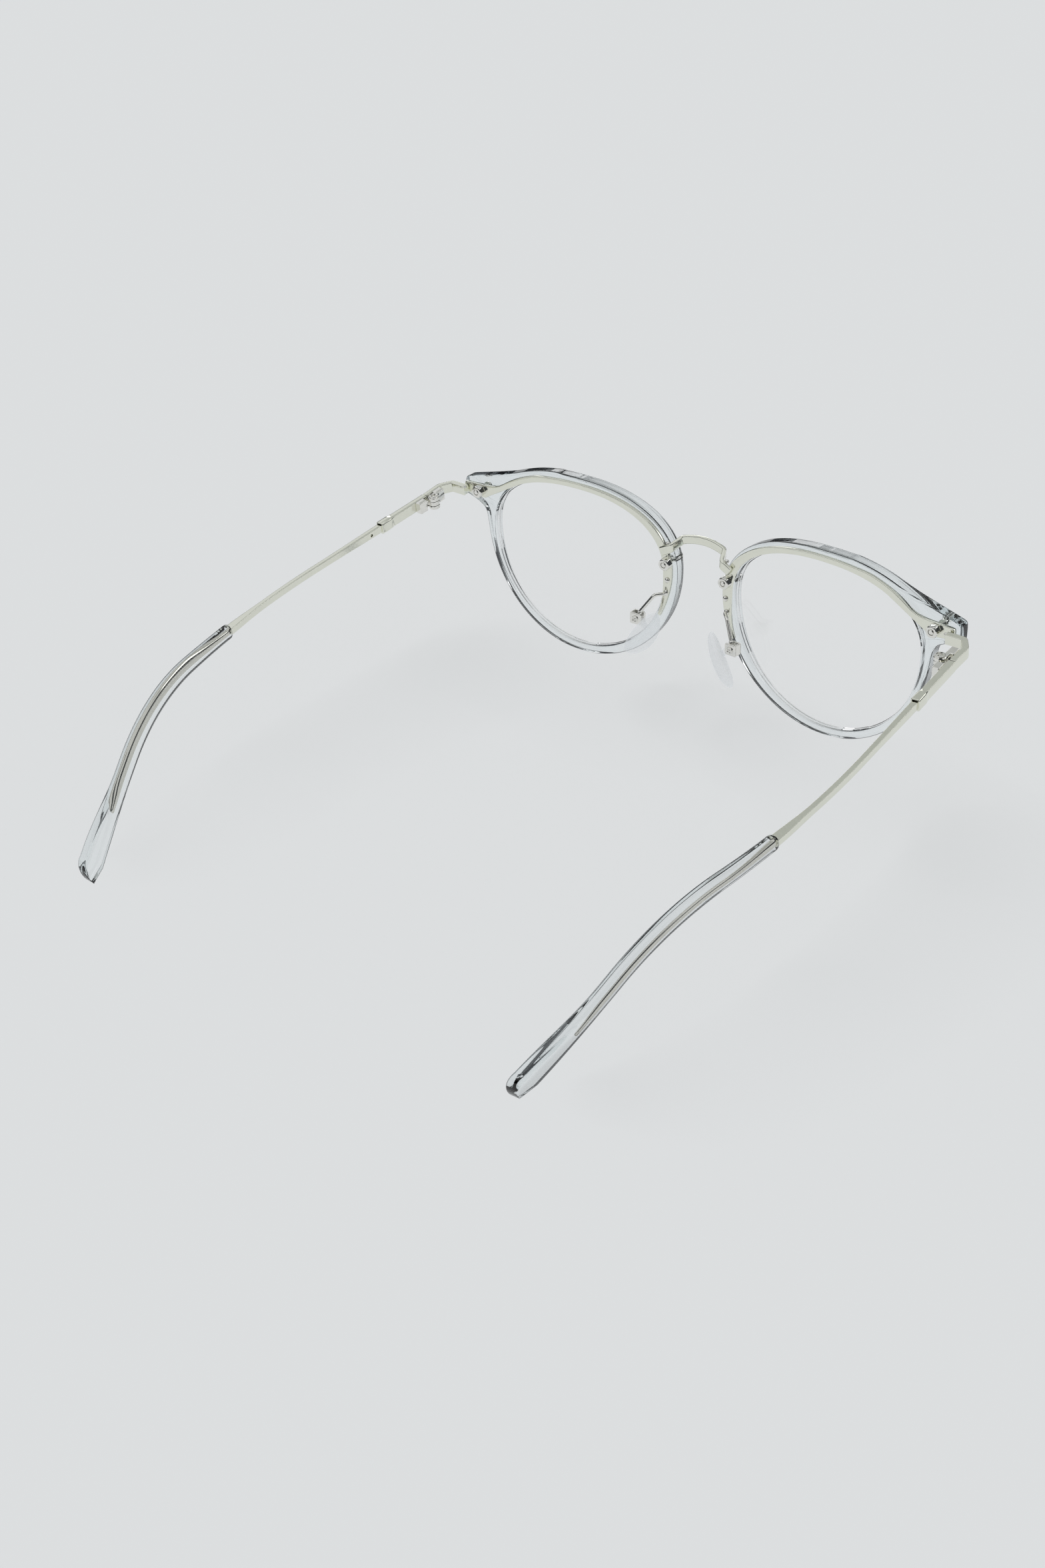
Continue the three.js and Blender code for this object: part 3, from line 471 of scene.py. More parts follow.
# x and z of points at a reach from the opening's middle: the reach times the cosine and the sine
def onOutline(angle, reach):
    return np.stack([centreX + reach * np.cos(angle), centreZ + reach * np.sin(angle)], -1)


# a closed line drawn parallel to another, to its left by the given way, from its slopes
def parallel(line, way):
    slope = unit(np.roll(line, -1, 0) - np.roll(line, 1, 0))
    return line + way * np.stack([-slope[:, 1], slope[:, 0]], -1)


# angles at equal steps of the outer outline's length, so that the wing's corners get as many points
def evenAngles(count):
    fine = np.linspace(0, 2 * math.pi, rim["fineSides"])
    run = runAlong(onOutline(fine, rimReach(fine)))
    return np.interp(np.linspace(0, run[-1], count), run, fine)


# a line of x and z set at a depth y
def atDepth(line, y):
    return np.stack([line[:, 0], np.broadcast_to(y, len(line)), line[:, 1]], -1)


# rim: a section with rounded edges and a lens groove goes once round the opening, slimmer below
def makeRim():
    angles = evenAngles(rim["sides"] + 1)[:-1]
    outer = onOutline(angles, rimReach(angles))
    inner = onOutline(angles, openingReach(angles))
    low = lowShare(angles)
    back = -rim["lowSet"] * low
    front = -rim["depth"] + (rim["depth"] - rim["lowSet"] - rim["lowDepth"]) * low
    groove = np.full(len(angles), -rim["grooveSet"])
    half = rim["grooveWidth"] / 2
    r, e = rim["round"], rim["innerRound"]
    keep, near = rim["flatKeep"]  # loops this close beside each rounded edge keep the flats flat
    outerEdge, innerEdge = edgeRound(r, 7), edgeRound(e, 4)
    outerRows = [(r + keep, front), *[(way, front + y) for way, y in outerEdge]]
    outerRows += [(0, front + r + keep), (0, back - r - keep)]
    outerRows += [*[(way, back - y) for y, way in outerEdge], (r + keep, back)]
    innerRows = [(-e - near, back), *[(-way, back - y) for way, y in innerEdge]]
    innerRows += [(0, back - e - near), (0, groove + half + near), (0, groove + half)]
    innerRows += [(-rim["grooveDepth"], groove), (0, groove - half), (0, groove - half - near)]
    innerRows += [(0, front + e + near), *[(-way, front + y) for y, way in innerEdge], (-e - near, front)]
    rows = [atDepth(parallel(outer, way), y) for way, y in outerRows]
    rows += [atDepth(parallel(inner, way), y) for way, y in innerRows]
    return loft(np.array(rows), ring=True)


lens = {"thickness": 1.6, "sag": 2.2, "clearance": 0.15, "middle": 0.02, "rings": 22, "sides": 240}


# lens: rings that bow forward by the square of their share of the outline, with a ridge in the groove
def makeLens():
    angles = roundTurn(lens["sides"])
    reach = openingReach(angles)
    shares = np.linspace(lens["middle"], 1, lens["rings"])

    def ring(share, y):
        bow = lens["sag"] * (1 - share**2)
        return atDepth(onOutline(angles, (reach - lens["clearance"]) * share), y - bow)

    middle, half = -rim["grooveSet"], lens["thickness"] / 2
    ridgeHalf = rim["grooveWidth"] / 2 - lens["clearance"]
    ridge = atDepth(onOutline(angles, reach + rim["grooveDepth"] - lens["clearance"]), middle)
    rows = [ring(share, middle + half) for share in shares]
    rows += [ring(1, middle + ridgeHalf), ridge, ring(1, middle - ridgeHalf)]
    rows += [ring(share, middle - half) for share in shares[::-1]]
    return loft(np.array(rows))


addPair("rim", [makeRim()], fromWrap, clearRim, clear=True, sharp=40)
addPair("lens", [makeLens()], fromWrap, lensClear, clear=True, sharp=40)
print("rims and lenses made")

# brow plate, its screws, nuts and rivet
plate = {
    "gap": 0.15,
    "thickness": 0.9,
    "inset": 0.75,
    "lip": 0.1,
    "edge": 0.16,
    "noseEnd": 204,
    "taperStart": 178,
    "outerTaper": 0.5,
    "innerTaper": 0.7,
    "leafStart": 38,
    "leafEnd": 13,
    "leafCorner": (-0.15, -0.35),
    "leafMargin": 1.6,
    "leafRise": 1.3,
    "leafReach": 7.6,
    "leafRound": 0.6,
    "leafBlend": 3.0,
    "leafCosines": (0.2, 0.6),
    "leastSine": 0.05,
    "steps": (1200, 900, 60),
    "count": 260,
}
fastener = {
    "outerOut": 3.4,
    "outerDrop": 0.1,
    "noseSet": 1.35,
    "noseAngle": 173,
    "rivetAngle": 182.5,
    "shank": 1.1,
    "screwOver": 0.12,
    "head": 2.2,
    "headHeight": 0.7,
    "cross": (0.34, 1.3, 0.3),
    "nutAcross": 2.6,
    "nutHeight": 1.4,
    "nutGap": 0.12,
    "rivetShank": 0.7,
    "rivetSink": 0.4,
    "rivetLift": 0.08,
    "rivetHead": 1.3,
    "rivetHeight": 0.5,
}
plateBack = plate["gap"] + plate["thickness"]
wallMiddle = rim["halfWidth"] + fastener["noseSet"]
outerScrewX = centreX + rim["halfWidth"] + fastener["outerOut"]
outerScrew = np.array([outerScrewX, centreZ + rim["wingLift"] - fastener["outerDrop"]])
noseScrew = onOutline(math.radians(fastener["noseAngle"]), wallMiddle)
rivetAt = onOutline(math.radians(fastener["rivetAngle"]), wallMiddle)


# points at equal steps of a line's length
def evenLine(line, count):
    run = runAlong(line)
    steps = np.linspace(0, run[-1], count)
    return np.stack([np.interp(steps, run, line[:, k]) for k in range(line.shape[1])], -1)


# outer edge of the plate: inside the rim's own oval, swelling to a leaf that lies along the wing
def plateReach(angle):
    c, least = np.cos(angle), plate["leastSine"]
    taper = plate["outerTaper"] * smoothStep(np.degrees(angle), plate["taperStart"], plate["noseEnd"])
    edge = rimOval(angle) - plate["inset"] - taper
    share = smoothStep(c, *plate["leafCosines"])
    top = (rim["wingLift"] + plate["leafRise"]) / np.maximum(np.sin(angle), least) * share
    end = (rim["halfWidth"] + plate["leafReach"]) / np.maximum(c, least)
    leaf = smoothMin(top, end, plate["leafRound"])
    return np.where(share > 0, smoothMax(edge, leaf, plate["leafBlend"] * share), edge)


# brow plate: a flat band between two lines, one inside the rim's edge and one round the opening
def makePlate():
    outerSteps, innerSteps, leafSteps = plate["steps"]
    angles = np.radians(np.linspace(plate["leafEnd"], plate["noseEnd"], outerSteps))
    outer = onOutline(angles, plateReach(angles))
    innerTurns = np.linspace(plate["leafStart"], plate["noseEnd"], innerSteps)
    taper = plate["innerTaper"] * smoothStep(innerTurns, plate["taperStart"], plate["noseEnd"])
    innerAngles = np.radians(innerTurns)
    inner = onOutline(innerAngles, openingReach(innerAngles) + plate["lip"] + taper)
    margin = plate["leafMargin"]
    leaf = smoothLine([
        outer[0] + plate["leafCorner"],
        outerScrew + (-margin / 2, -margin),
        outerScrew + (-2 * margin, -margin / 3),
        inner[0],
    ], leafSteps)
    outer = evenLine(outer, plate["count"])
    inner = evenLine(np.vstack([leaf[:-1], inner]), plate["count"])
    across = unit(inner - outer)
    ways = edgeRound(plate["edge"], 4)
    rows = [atDepth(outer + across * way, plate["gap"] + y) for way, y in ways]
    rows += [atDepth(outer + across * way, plateBack - y) for way, y in ways[::-1]]
    rows += [atDepth(inner - across * way, plateBack - y) for way, y in ways]
    rows += [atDepth(inner - across * way, plate["gap"] + y) for way, y in ways[::-1]]
    return loft(np.array(rows).transpose(1, 0, 2))


# round head with a cross recess: the recess deepens where a point lies within either slot of the cross
def crossTop(radius, height, slotWidth, slotLength, depth, sides, rings=14, middle=0.02, soft=0.06):
    r = np.linspace(radius, middle, rings)[:, None]
    a = roundTurn(sides)[None, :]
    x, y = r * np.cos(a), r * np.sin(a)
    within = lambda v, w: np.clip((w - np.abs(v)) / soft + 0.5, 0, 1)
    slot = np.maximum(within(x, slotWidth / 2) * within(y, slotLength / 2),
                      within(y, slotWidth / 2) * within(x, slotLength / 2))
    return np.stack([x, y, height - depth * slot], -1)


# headed screw along z: a plain shank with a worn end, a rounded rim and a flat top with its cross
def crossScrew(shank, end, head, seat, headHeight, cross, sides=72, worn=(0.8, 0.12), edgeShare=0.45):
    edge = headHeight * edgeShare
    top = seat + headHeight
    profile = [(shank / 2 * worn[0], end), (shank / 2, end + worn[1]), (shank / 2, seat), (head / 2, seat)]
    profile += [(head / 2 - way, top - y) for y, way in edgeRound(edge, 5)]
    flat = crossTop(head / 2 - edge * 1.06, top, *cross, sides)
    return loft(np.vstack([circles(profile, sides), flat]))


# hexagon nut along z: worn corners, a chamfered top and a ring gap round the screw's end
def hexNut(across, low, high, hole, sides=96):
    a = roundTurn(sides)
    sector = np.mod(a, math.pi / 3) - math.pi / 6
    flat, bore = np.full(sides, across / 2), np.full(sides, hole)
    hexagon = smoothMin(flat / np.cos(sector), flat * 1.11, 0.05)
    rings = [(hexagon * 0.96, low), (hexagon, low + 0.08), (hexagon, high - 0.3)]  # sides
    rings += [(np.minimum(hexagon, flat * 1.02), high - 0.13), (flat * 0.9, high - 0.03)]  # chamfer
    rings += [(flat * 0.8, high), (bore + 0.05, high), (bore, high - 0.08), (bore, high - 0.3)]  # top and gap
    return loft(np.array([np.stack([r * np.cos(a), r * np.sin(a), np.full(sides, h)], -1) for r, h in rings]))


# z of a small form becomes the way back through the rim, or the way forward
def throughRim(shell, at, way):
    x, z, y = shell[0].T
    return outward(np.stack([at[0] + x, way * y, at[1] + z], -1), *shell[1:])


# rivet: a dome whose radius falls and height grows as a cosine and a sine
def makeRivet():
    half, height = fastener["rivetHead"] / 2, fastener["rivetHeight"]
    shank = (fastener["rivetShank"] / 2, -fastener["rivetSink"])
    dome = [(half * math.cos(t), height * math.sin(t)) for t in np.linspace(0.05, 1.5, 9)]
    place = (rivetAt[0], plateBack + fastener["rivetLift"], rivetAt[1])
    return turned([shank, (half, 0.0), *dome], place)


nutHigh = plateBack + plate["gap"] + fastener["nutHeight"]
nutShape = hexNut(fastener["nutAcross"], plateBack, nutHigh, fastener["shank"] / 2 + fastener["nutGap"])
screwShape = crossScrew(fastener["shank"], -nutHigh - fastener["screwOver"], fastener["head"], rim["depth"],
                        fastener["headHeight"], fastener["cross"])
addPair("brow_plate", [makePlate()], fromWrap, champagne)
for base, at in (("outer", outerScrew), ("nose", noseScrew)):
    addPair(f"{base}_nut", [throughRim(nutShape, at, 1)], fromWrap, silver)
    addPair(f"{base}_rim_screw", [throughRim(screwShape, at, -1)], fromWrap, silver)
addPair("plate_rivet", [makeRivet()], fromWrap, silver)
print("brow plates and fasteners made")

# bridge strip, half its path from the plate to the middle, in the frame of the front
bridge = {
    "thickness": 0.9,
    "height": 2.0,
    "round": 0.28,
    "edge": 0.12,
    "footLength": 2.3,
    "footDrop": 1.2,
    "kneeX": 6.8,
    "kneeRise": 7.1,
    "bendX": 5.5,
    "forward": 3.1,
    "bendRise": 1.4,
    "cuts": (0.7, 0.55),
    "archForward": 0.6,
    "archRise": 0.8,
    "archSteps": 25,
    "bead": 0.42,
    "beadStretch": (1.4, 1, 1),
    "beadOff": (1.0, 0.35, 0.75),
}


# bridge: a strip on feet, with legs that come forward and an arch that swells as one less the share squared
def makeBridge():
    footX = bridge["kneeX"] + bridge["footLength"]
    wrapBack = footX * math.tan(math.radians(stand["wrap"]))
    footY = plateBack + plate["gap"] + bridge["thickness"] / 2 + wrapBack
    kneeZ = centreZ + bridge["kneeRise"]
    bendZ = kneeZ + bridge["bendRise"]
    half = np.array([
        (footX, footY, kneeZ - bridge["footDrop"]),
        (bridge["kneeX"], footY, kneeZ),
        (bridge["bendX"], footY - bridge["forward"], bendZ),
    ])
    shares = np.linspace(-1, 1, bridge["archSteps"])[1:-1]
    swell = 1 - shares**2
    arch = np.stack([-shares * bridge["bendX"], footY - bridge["forward"] - bridge["archForward"] * swell,
                     bendZ + bridge["archRise"] * swell], -1)
    legs = roundedPath(np.vstack([half, arch[:1]]), bridge["cuts"], 9)[:-1]
    path = np.vstack([legs, arch[1:-1], legs[::-1] * (-1, 1, 1)])
    return strip(path, bridge["thickness"], bridge["height"], bridge["round"], bridge["edge"])


addPiece("bridge_shape", [makeBridge()], fromFront, champagne, "bridge")
footBead = np.array([bridge["kneeX"], plateBack, centreZ + bridge["kneeRise"]]) + bridge["beadOff"]
solder = bead(bridge["bead"], footBead, bridge["beadStretch"])
addPair("brow_plate", [solder], fromFront, silver, label="bridge_bead", stands=False)
print("bridge made")

# pad arm and box, on one half of the front
arm = {
    "angle": 190,
    "wire": 0.84,
    "lead": (0.1, 0.8, 0.1),
    "elbow": (1.6, 2.1, 0),
    "end": (-0.5, 0.05),
    "cuts": (0.4, 0.7),
    "upright": (0.3, 0.1, 1.0),
    "footBead": (0.62, (0, 0.1, 0), (1, 0.6, 1.25)),
    "endBead": (0.56, (0, 0, -0.1)),
}
box = {
    "out": 4.85,
    "back": 3.9,
    "drop": 5.7,
    "width": 2.9,
    "depth": 2.2,
    "height": 2.7,
    "wall": 0.42,
    "round": 0.18,
    "cheekEdge": 0.3,
    "wallEdge": 0.05,
    "wallInset": 0.1,
}
armRoot = onOutline(math.radians(arm["angle"]), wallMiddle)
boxAt = np.array([armRoot[0] + box["out"], plateBack + box["back"], armRoot[1] - box["drop"]])


# pad arm: a round wire from the plate, straight to an elbow and straight on to a bead on the box
def makeArm():
    start = np.array([armRoot[0], plateBack, armRoot[1]])
    endX, endUp = arm["end"]
    end = boxAt + (endX, 0, box["height"] / 2 + endUp)
    path = roundedPath([start, start + arm["lead"], start + arm["elbow"], end], arm["cuts"], 9)
    a = roundTurn(20)
    circle = arm["wire"] / 2 * np.stack([np.cos(a), np.sin(a)], -1)
    footRadius, footOff, footStretch = arm["footBead"]
    endRadius, endOff = arm["endBead"]
    foot, knob = bead(footRadius, start + footOff, footStretch), bead(endRadius, end + endOff)
    return [sweep(path, circle[None], arm["upright"]), foot, knob]


# pad box: two cheeks joined by a wall on the temple side, open toward the nose
def makeBox():
    (x, y, z), h, t, corner = boxAt, box["height"], box["wall"], box["round"]
    low, high = x - box["width"] / 2, x + box["width"] / 2
    front, back = y - box["depth"] / 2, y + box["depth"] / 2
    cheeks = [strip([(low, side, z), (high, side, z)], t, h, corner, box["cheekEdge"])
              for side in (front + t / 2, back - t / 2)]
    wall = [(high - t / 2, side, z) for side in (front + box["wallInset"], back - box["wallInset"])]
    return [*cheeks, strip(wall, t, h, corner, box["wallEdge"])]


# radii with their ways past the box at the pad screw's end, and with their heights over the box at its head
padScrew = {
    "end": ((0.35, 0.05), (0.4, -0.05)),
    "head": ((0.4, 0), (0.75, 0), (0.75, 0.22), (0.68, 0.34), (0.58, 0.36), (0.48, 0.3), (0.42, 0.16),
             (0.3, 0.14), (0.16, 0.24), (0.03, 0.26)),
}


# pad screw: a flat head with a raised ring and a hollow middle, and a shank as long as the box is deep
def makePadScrew():
    shank = [(radius, -box["depth"] - over) for radius, over in padScrew["end"]]
    return turned([*shank, *padScrew["head"]], boxAt + (0, box["depth"] / 2, 0))


pad = {
    "length": 13.0,
    "width": 7.0,
    "thickness": 2.4,
    "taper": 0.2,
    "curl": 0.012,
    "outlinePower": 0.55,
    "facePower": 0.9,
    "pole": 0.985,
    "in": 2.6,
    "back": 1.4,
    "drop": 3.2,
    "frontal": 28,
    "splay": 30,
    "lug": ((0.55, 0, 0), (-0.6, 0, -0.25)),
    "lugEnd": (0.35, 0.62),
    "lugStrip": (0.8, 1.5, 0.3, 0.1),
}


# nose pad: a teardrop cushion whose rings shrink as the cosine of their roll, with a lug into the box
def makePad():
    pole = math.pi / 2 * pad["pole"]
    rolls, a = np.linspace(-pole, pole, 30)[:, None], roundTurn(80)[None, :]
    share = np.cos(rolls) ** pad["outlinePower"]
    depth = pad["thickness"] / 2 * np.sign(np.sin(rolls)) * np.abs(np.sin(rolls)) ** pad["facePower"]
    y = pad["width"] / 2 * np.cos(a) * (1 - pad["taper"] * np.sin(a)) * share
    z = pad["length"] / 2 * np.sin(a) * share
    cushion = np.stack([depth + pad["curl"] * z**2, y, z], -1)
    cushion = cushion @ (turn("y", -pad["frontal"]) @ turn("z", -pad["splay"])).T
    cushion = cushion + boxAt + (-pad["in"], pad["back"], -pad["drop"])
    lugBack, lugShare = pad["lugEnd"]
    lug = boxAt + np.array([*pad["lug"], (-pad["in"], lugBack, -pad["drop"] * lugShare)])
    return [loft(cushion), strip(smoothLine(lug, 10), *pad["lugStrip"])]


addPair("pad_arm", makeArm(), fromWrap, silver)
addPair("pad_box", makeBox(), fromWrap, silver)
addPair("pad_screw", [makePadScrew()], fromWrap, silver)
addPair("nose_pad", makePad(), fromWrap, silicone, clear=True)
print("pads made")

# line of the temple and its front section, in the hinge's frame: lengths run back from the hinge
temple = {
    "middle": 2.7,
    "thickness": 1.55,
    "height": 2.35,
    "length": 11.1,
    "round": 0.12,
    "edge": 0.08,
    "buttGap": 0.3,
    "bowStart": 36,
    "bowRadius": 203,
    "bendStart": 78.6,
    "bendRadius": 44,
    "bendAngle": 33,
    "straight": 25.6,
}
# end piece, whose first leg lies across the plate's leaf
endPiece = {
    "start": -3.1,
    "leg": -7.9,
    "corner": 0.95,
    "turned": -5.35,
    "cuts": (0.5, 0.6),
    "thickness": 1.35,
    "bead": 0.36,
    "beadOff": (-0.05, 0.2, -0.25),
}
hinge = {
    "barrel": 2.6,
    "barrelHeight": 0.8,
    "barrelMiddle": 1.0,
    "barrelGap": 0.08,
    "barrelEdge": 0.12,
    "leafInner": 0.3,
    "leafStart": 1.8,
    "leafLength": 2.4,
    "leafRound": 0.18,
    "leafEdge": 0.16,
    "tongue": (0.2, 2.3),
    "tongueGap": 0.02,
    "tongueRound": 0.1,
    "tongueEdge": 0.05,
    "shank": 1.0,
    "screwOver": 0.05,
    "head": 2.1,
    "headHeight": 0.42,
    "cross": (0.36, 1.45, 0.28),
}
stackHalf = hinge["barrelHeight"] + hinge["barrelMiddle"] / 2 + hinge["barrelGap"]


# flat strip with the height and edges of the temple's front section
def frontStrip(path, thickness):
    return strip(path, thickness, temple["height"], temple["round"], temple["edge"])


# end piece: a strip from the plate that turns the corner in two rounded bends and runs back to the hinge
def makeEndPiece():
    leg, middle = endPiece["leg"], temple["middle"]
    corners = [(endPiece["start"], leg, 0), (endPiece["corner"], leg, 0), (middle, endPiece["turned"], 0),
               (middle, -temple["buttGap"] / 2, 0)]
    return frontStrip(roundedPath(corners, endPiece["cuts"], 10), endPiece["thickness"])


# hinge leaf: a block against the inner side, a tongue, and barrels turned on the hinge axis
def makeLeaf(direction, barrels, thickness):
    inner, outer, start = hinge["leafInner"], temple["middle"] - thickness / 2, hinge["leafStart"]
    radius, hole, edge = hinge["barrel"] / 2, hinge["shank"] / 2, hinge["barrelEdge"]
    block = [((inner + outer) / 2, direction * y, 0) for y in (start, start + hinge["leafLength"])]
    shells = [strip(block, outer - inner, 2 * stackHalf, hinge["leafRound"], hinge["leafEdge"])]
    for low, high in barrels:
        wall = [(radius - edge, low), (radius, low + edge), (radius, high - edge), (radius - edge, high)]
        tongue = [((inner + radius) / 2, direction * y, (low + high) / 2) for y in hinge["tongue"]]
        tall = high - low - hinge["tongueGap"]
        shells += [turned([(hole, low), *wall, (hole, high)], (0, 0, 0), "z"),
                   strip(tongue, radius - inner, tall, hinge["tongueRound"], hinge["tongueEdge"])]
    return shells


middleHalf = hinge["barrelMiddle"] / 2
sideLow = middleHalf + hinge["barrelGap"]
frontLeaf = makeLeaf(-1, ((-stackHalf, -sideLow), (sideLow, stackHalf)), endPiece["thickness"])
templeLeaf = makeLeaf(1, ((-middleHalf, middleHalf),), temple["thickness"])
hingeScrew = crossScrew(hinge["shank"], -stackHalf - hinge["screwOver"], hinge["head"], stackHalf,
                        hinge["headHeight"], hinge["cross"])
endBead = np.array([endPiece["start"], endPiece["leg"], temple["height"] / 2]) + endPiece["beadOff"]
solder = bead(endPiece["bead"], endBead)
addPair("end_piece", [makeEndPiece()], fromHinge, champagne)
addPair("end_piece", [solder], fromHinge, silver, label="solder_bead", stands=False)
addPair("front_hinge_leaf", frontLeaf, fromHinge, silver)
addPair("temple_hinge_leaf", templeLeaf, fromTemple, silver)
addPair("hinge_screw", [hingeScrew], fromHinge, silver)
print("hinges made")

bendTurn = math.radians(temple["bendAngle"])
bendEnd = temple["bendStart"] + temple["bendRadius"] * bendTurn
templeLength = bendEnd + temple["straight"]


# line of the temple: straight, bowed in by the square of the way past the bow's start, bent down on an arc
def templeLine(along):
    start, radius = temple["bendStart"], temple["bendRadius"]
    bent = np.clip((along - start) / radius, 0, bendTurn)
    past = np.maximum(0, along - bendEnd)
    y = np.minimum(along, start) + radius * np.sin(bent) + past * math.cos(bendTurn)
    z = -radius * (1 - np.cos(bent)) - past * math.sin(bendTurn)
    x = temple["middle"] - np.maximum(0, y - temple["bowStart"]) ** 2 / (2 * temple["bowRadius"])
    return np.stack([x, y, z], -1), bent


# sections along the temple's line: across is x, and up leans back with the bend
def alongTemple(along, sections):
    place, bent = templeLine(along)
    up = np.stack([0 * bent, np.sin(bent), np.cos(bent)], -1)
    grid = place[:, None] + sections[..., 1:] * up[:, None]
    grid[..., 0] += sections[..., 0]
    return loft(grid)


# collar and slim bar behind it
collar = {
    "thickness": 2.05,
    "height": 2.75,
    "length": 4.2,
    "swell": 1.5,
    "fit": 0.04,
    "rounds": (0.3, 0.5),
    "edge": 0.16,
    "wall": 0.22,
    "overlap": 1.6,
    "mouthLap": 0.1,
    "mouthRound": 0.15,
    "mouthWays": (0, 0.06, 0.8),
    "plugWays": (0.7, 0.3),
}
bar = {
    "thickness": 1.3,
    "height": 1.75,
    "lap": 0.6,
    "waist": (0.85, 16, 34),
    "flare": 0.9,
    "flareLength": 12,
    "shoulderIn": 0.25,
    "holeAlong": 18.8,
    "holeUp": -0.1,
    "holeRadius": 0.34,
    "holeDepth": 0.7,
    "holeSoft": 0.05,
    "holeSpans": (0.45, 0.5),
}
core = {
    "thickness": 0.6,
    "height": 1.05,
    "out": 0.5,
    "outLength": 14,
    "lap": 0.5,
    "short": 13.9,
    "end": (0.25, 0.6),
}
tip = {
    "start": 64.6,
    "thickness": 3.0,
    "height": 3.8,
    "mouth": 0.86,
    "mouthLength": 26,
    "lipShare": 0.8,
    "lipLength": 0.8,
    "lipWays": (0.0, 0.03, 0.1, 0.22, 0.4, 0.6),
    "paddleThickness": 3.0,
    "paddleHeight": 5.5,
    "paddleLength": 22,
    "endRound": 3.6,
    "endRise": 1.2,
    "endShare": 0.7,
    "endPole": 0.985,
    "power": 2.5,
    "paddlePower": 4.5,
}
collarStart = temple["buttGap"] / 2 + temple["length"]
collarEnd = collarStart + collar["length"]
frontEnd = collarStart + collar["overlap"]
shoulder = tip["start"] + bar["shoulderIn"]


# collar: a soft block that swells from the front section, with an open mouth above the bar, and its dark plug of
# painted shade in that mouth
def makeCollar():
    t, h, (slimRound, fullRound) = collar["thickness"], collar["height"], collar["rounds"]
    swell = np.linspace(0, 1, 9)
    grown = smoothStep(swell, 0, 1)[:, None, None]
    slim = roundRect(temple["thickness"] + collar["fit"], temple["height"] + collar["fit"], slimRound)
    full = roundRect(t, h, fullRound)
    falls = edgeRound(collar["edge"], 5)
    floor = bar["height"] / 2 - collar["mouthLap"]
    rise = h / 2 - collar["wall"] - floor
    mouth = roundRect(bar["thickness"] + collar["mouthLap"], rise, collar["mouthRound"])
    mouth = mouth + (0, floor + rise / 2)
    along = np.concatenate([collarStart + collar["swell"] * swell, collarEnd - falls[:, 0],
                            collarEnd - np.array(collar["mouthWays"])])
    sections = [*(slim + (full - slim) * grown)]
    sections += [roundRect(t - 2 * way, h - 2 * way, fullRound - way) for y, way in falls]
    sections += [mouth, mouth, mouth]
    plug = collarEnd - np.array(collar["plugWays"])
    return alongTemple(along, np.array(sections)), alongTemple(plug, np.stack([mouth, mouth]))


# bar: a rounded rectangle with a waist that flares into the tip's mouth, and a drilled hole in its inner side
def makeBar():
    w, h, r = bar["thickness"], bar["height"], temple["round"]
    hole, (near, far) = bar["holeAlong"], bar["holeSpans"]
    along = np.concatenate([np.linspace(frontEnd - bar["lap"], hole - far, 12),
                            np.linspace(hole - near, hole + near, 46), np.linspace(hole + far, shoulder, 90)])
    loop = roundRect(w, h, r)
    side = np.stack([np.full(39, -w / 2), np.linspace(h / 2 - r, r - h / 2, 41)[1:-1]], -1)
    loop = np.vstack([loop[:10], side, loop[10:]])
    rows = np.repeat(loop[None], len(along), 0)
    way = np.hypot(along[:, None] - hole, rows[..., 1] - bar["holeUp"])
    inside = rows[..., 0] < 0.01 - w / 2
    sunk = np.clip((bar["holeRadius"] - way) / bar["holeSoft"], 0, 1) * inside
    least, waistStart, waistEnd = bar["waist"]
    waist = 1 - (1 - least) * smoothStep(along, waistStart, waistEnd)
    flare = waist + bar["flare"] / w * smoothStep(along, shoulder - bar["flareLength"], shoulder)
    rows = rows * np.stack([flare, waist], -1)[:, None]
    rows[..., 0] += bar["holeDepth"] * sunk
    return alongTemple(along, rows)


# core: an oval wire that moves out by a soft step behind the bar's end
def makeCore():
    end, (endEdge, endShare) = templeLength - core["short"], core["end"]
    along = np.append(np.linspace(shoulder - core["lap"], end - endEdge, 90), end)
    a = roundTurn(40)
    oval = np.stack([core["thickness"] * np.cos(a), core["height"] * np.sin(a)], -1) / 2
    rows = np.repeat(oval[None], len(along), 0)
    rows[-1] *= endShare
    rows[..., 0] += (core["out"] * smoothStep(along, shoulder, shoulder + core["outLength"]))[:, None]
    return alongTemple(along, rows)


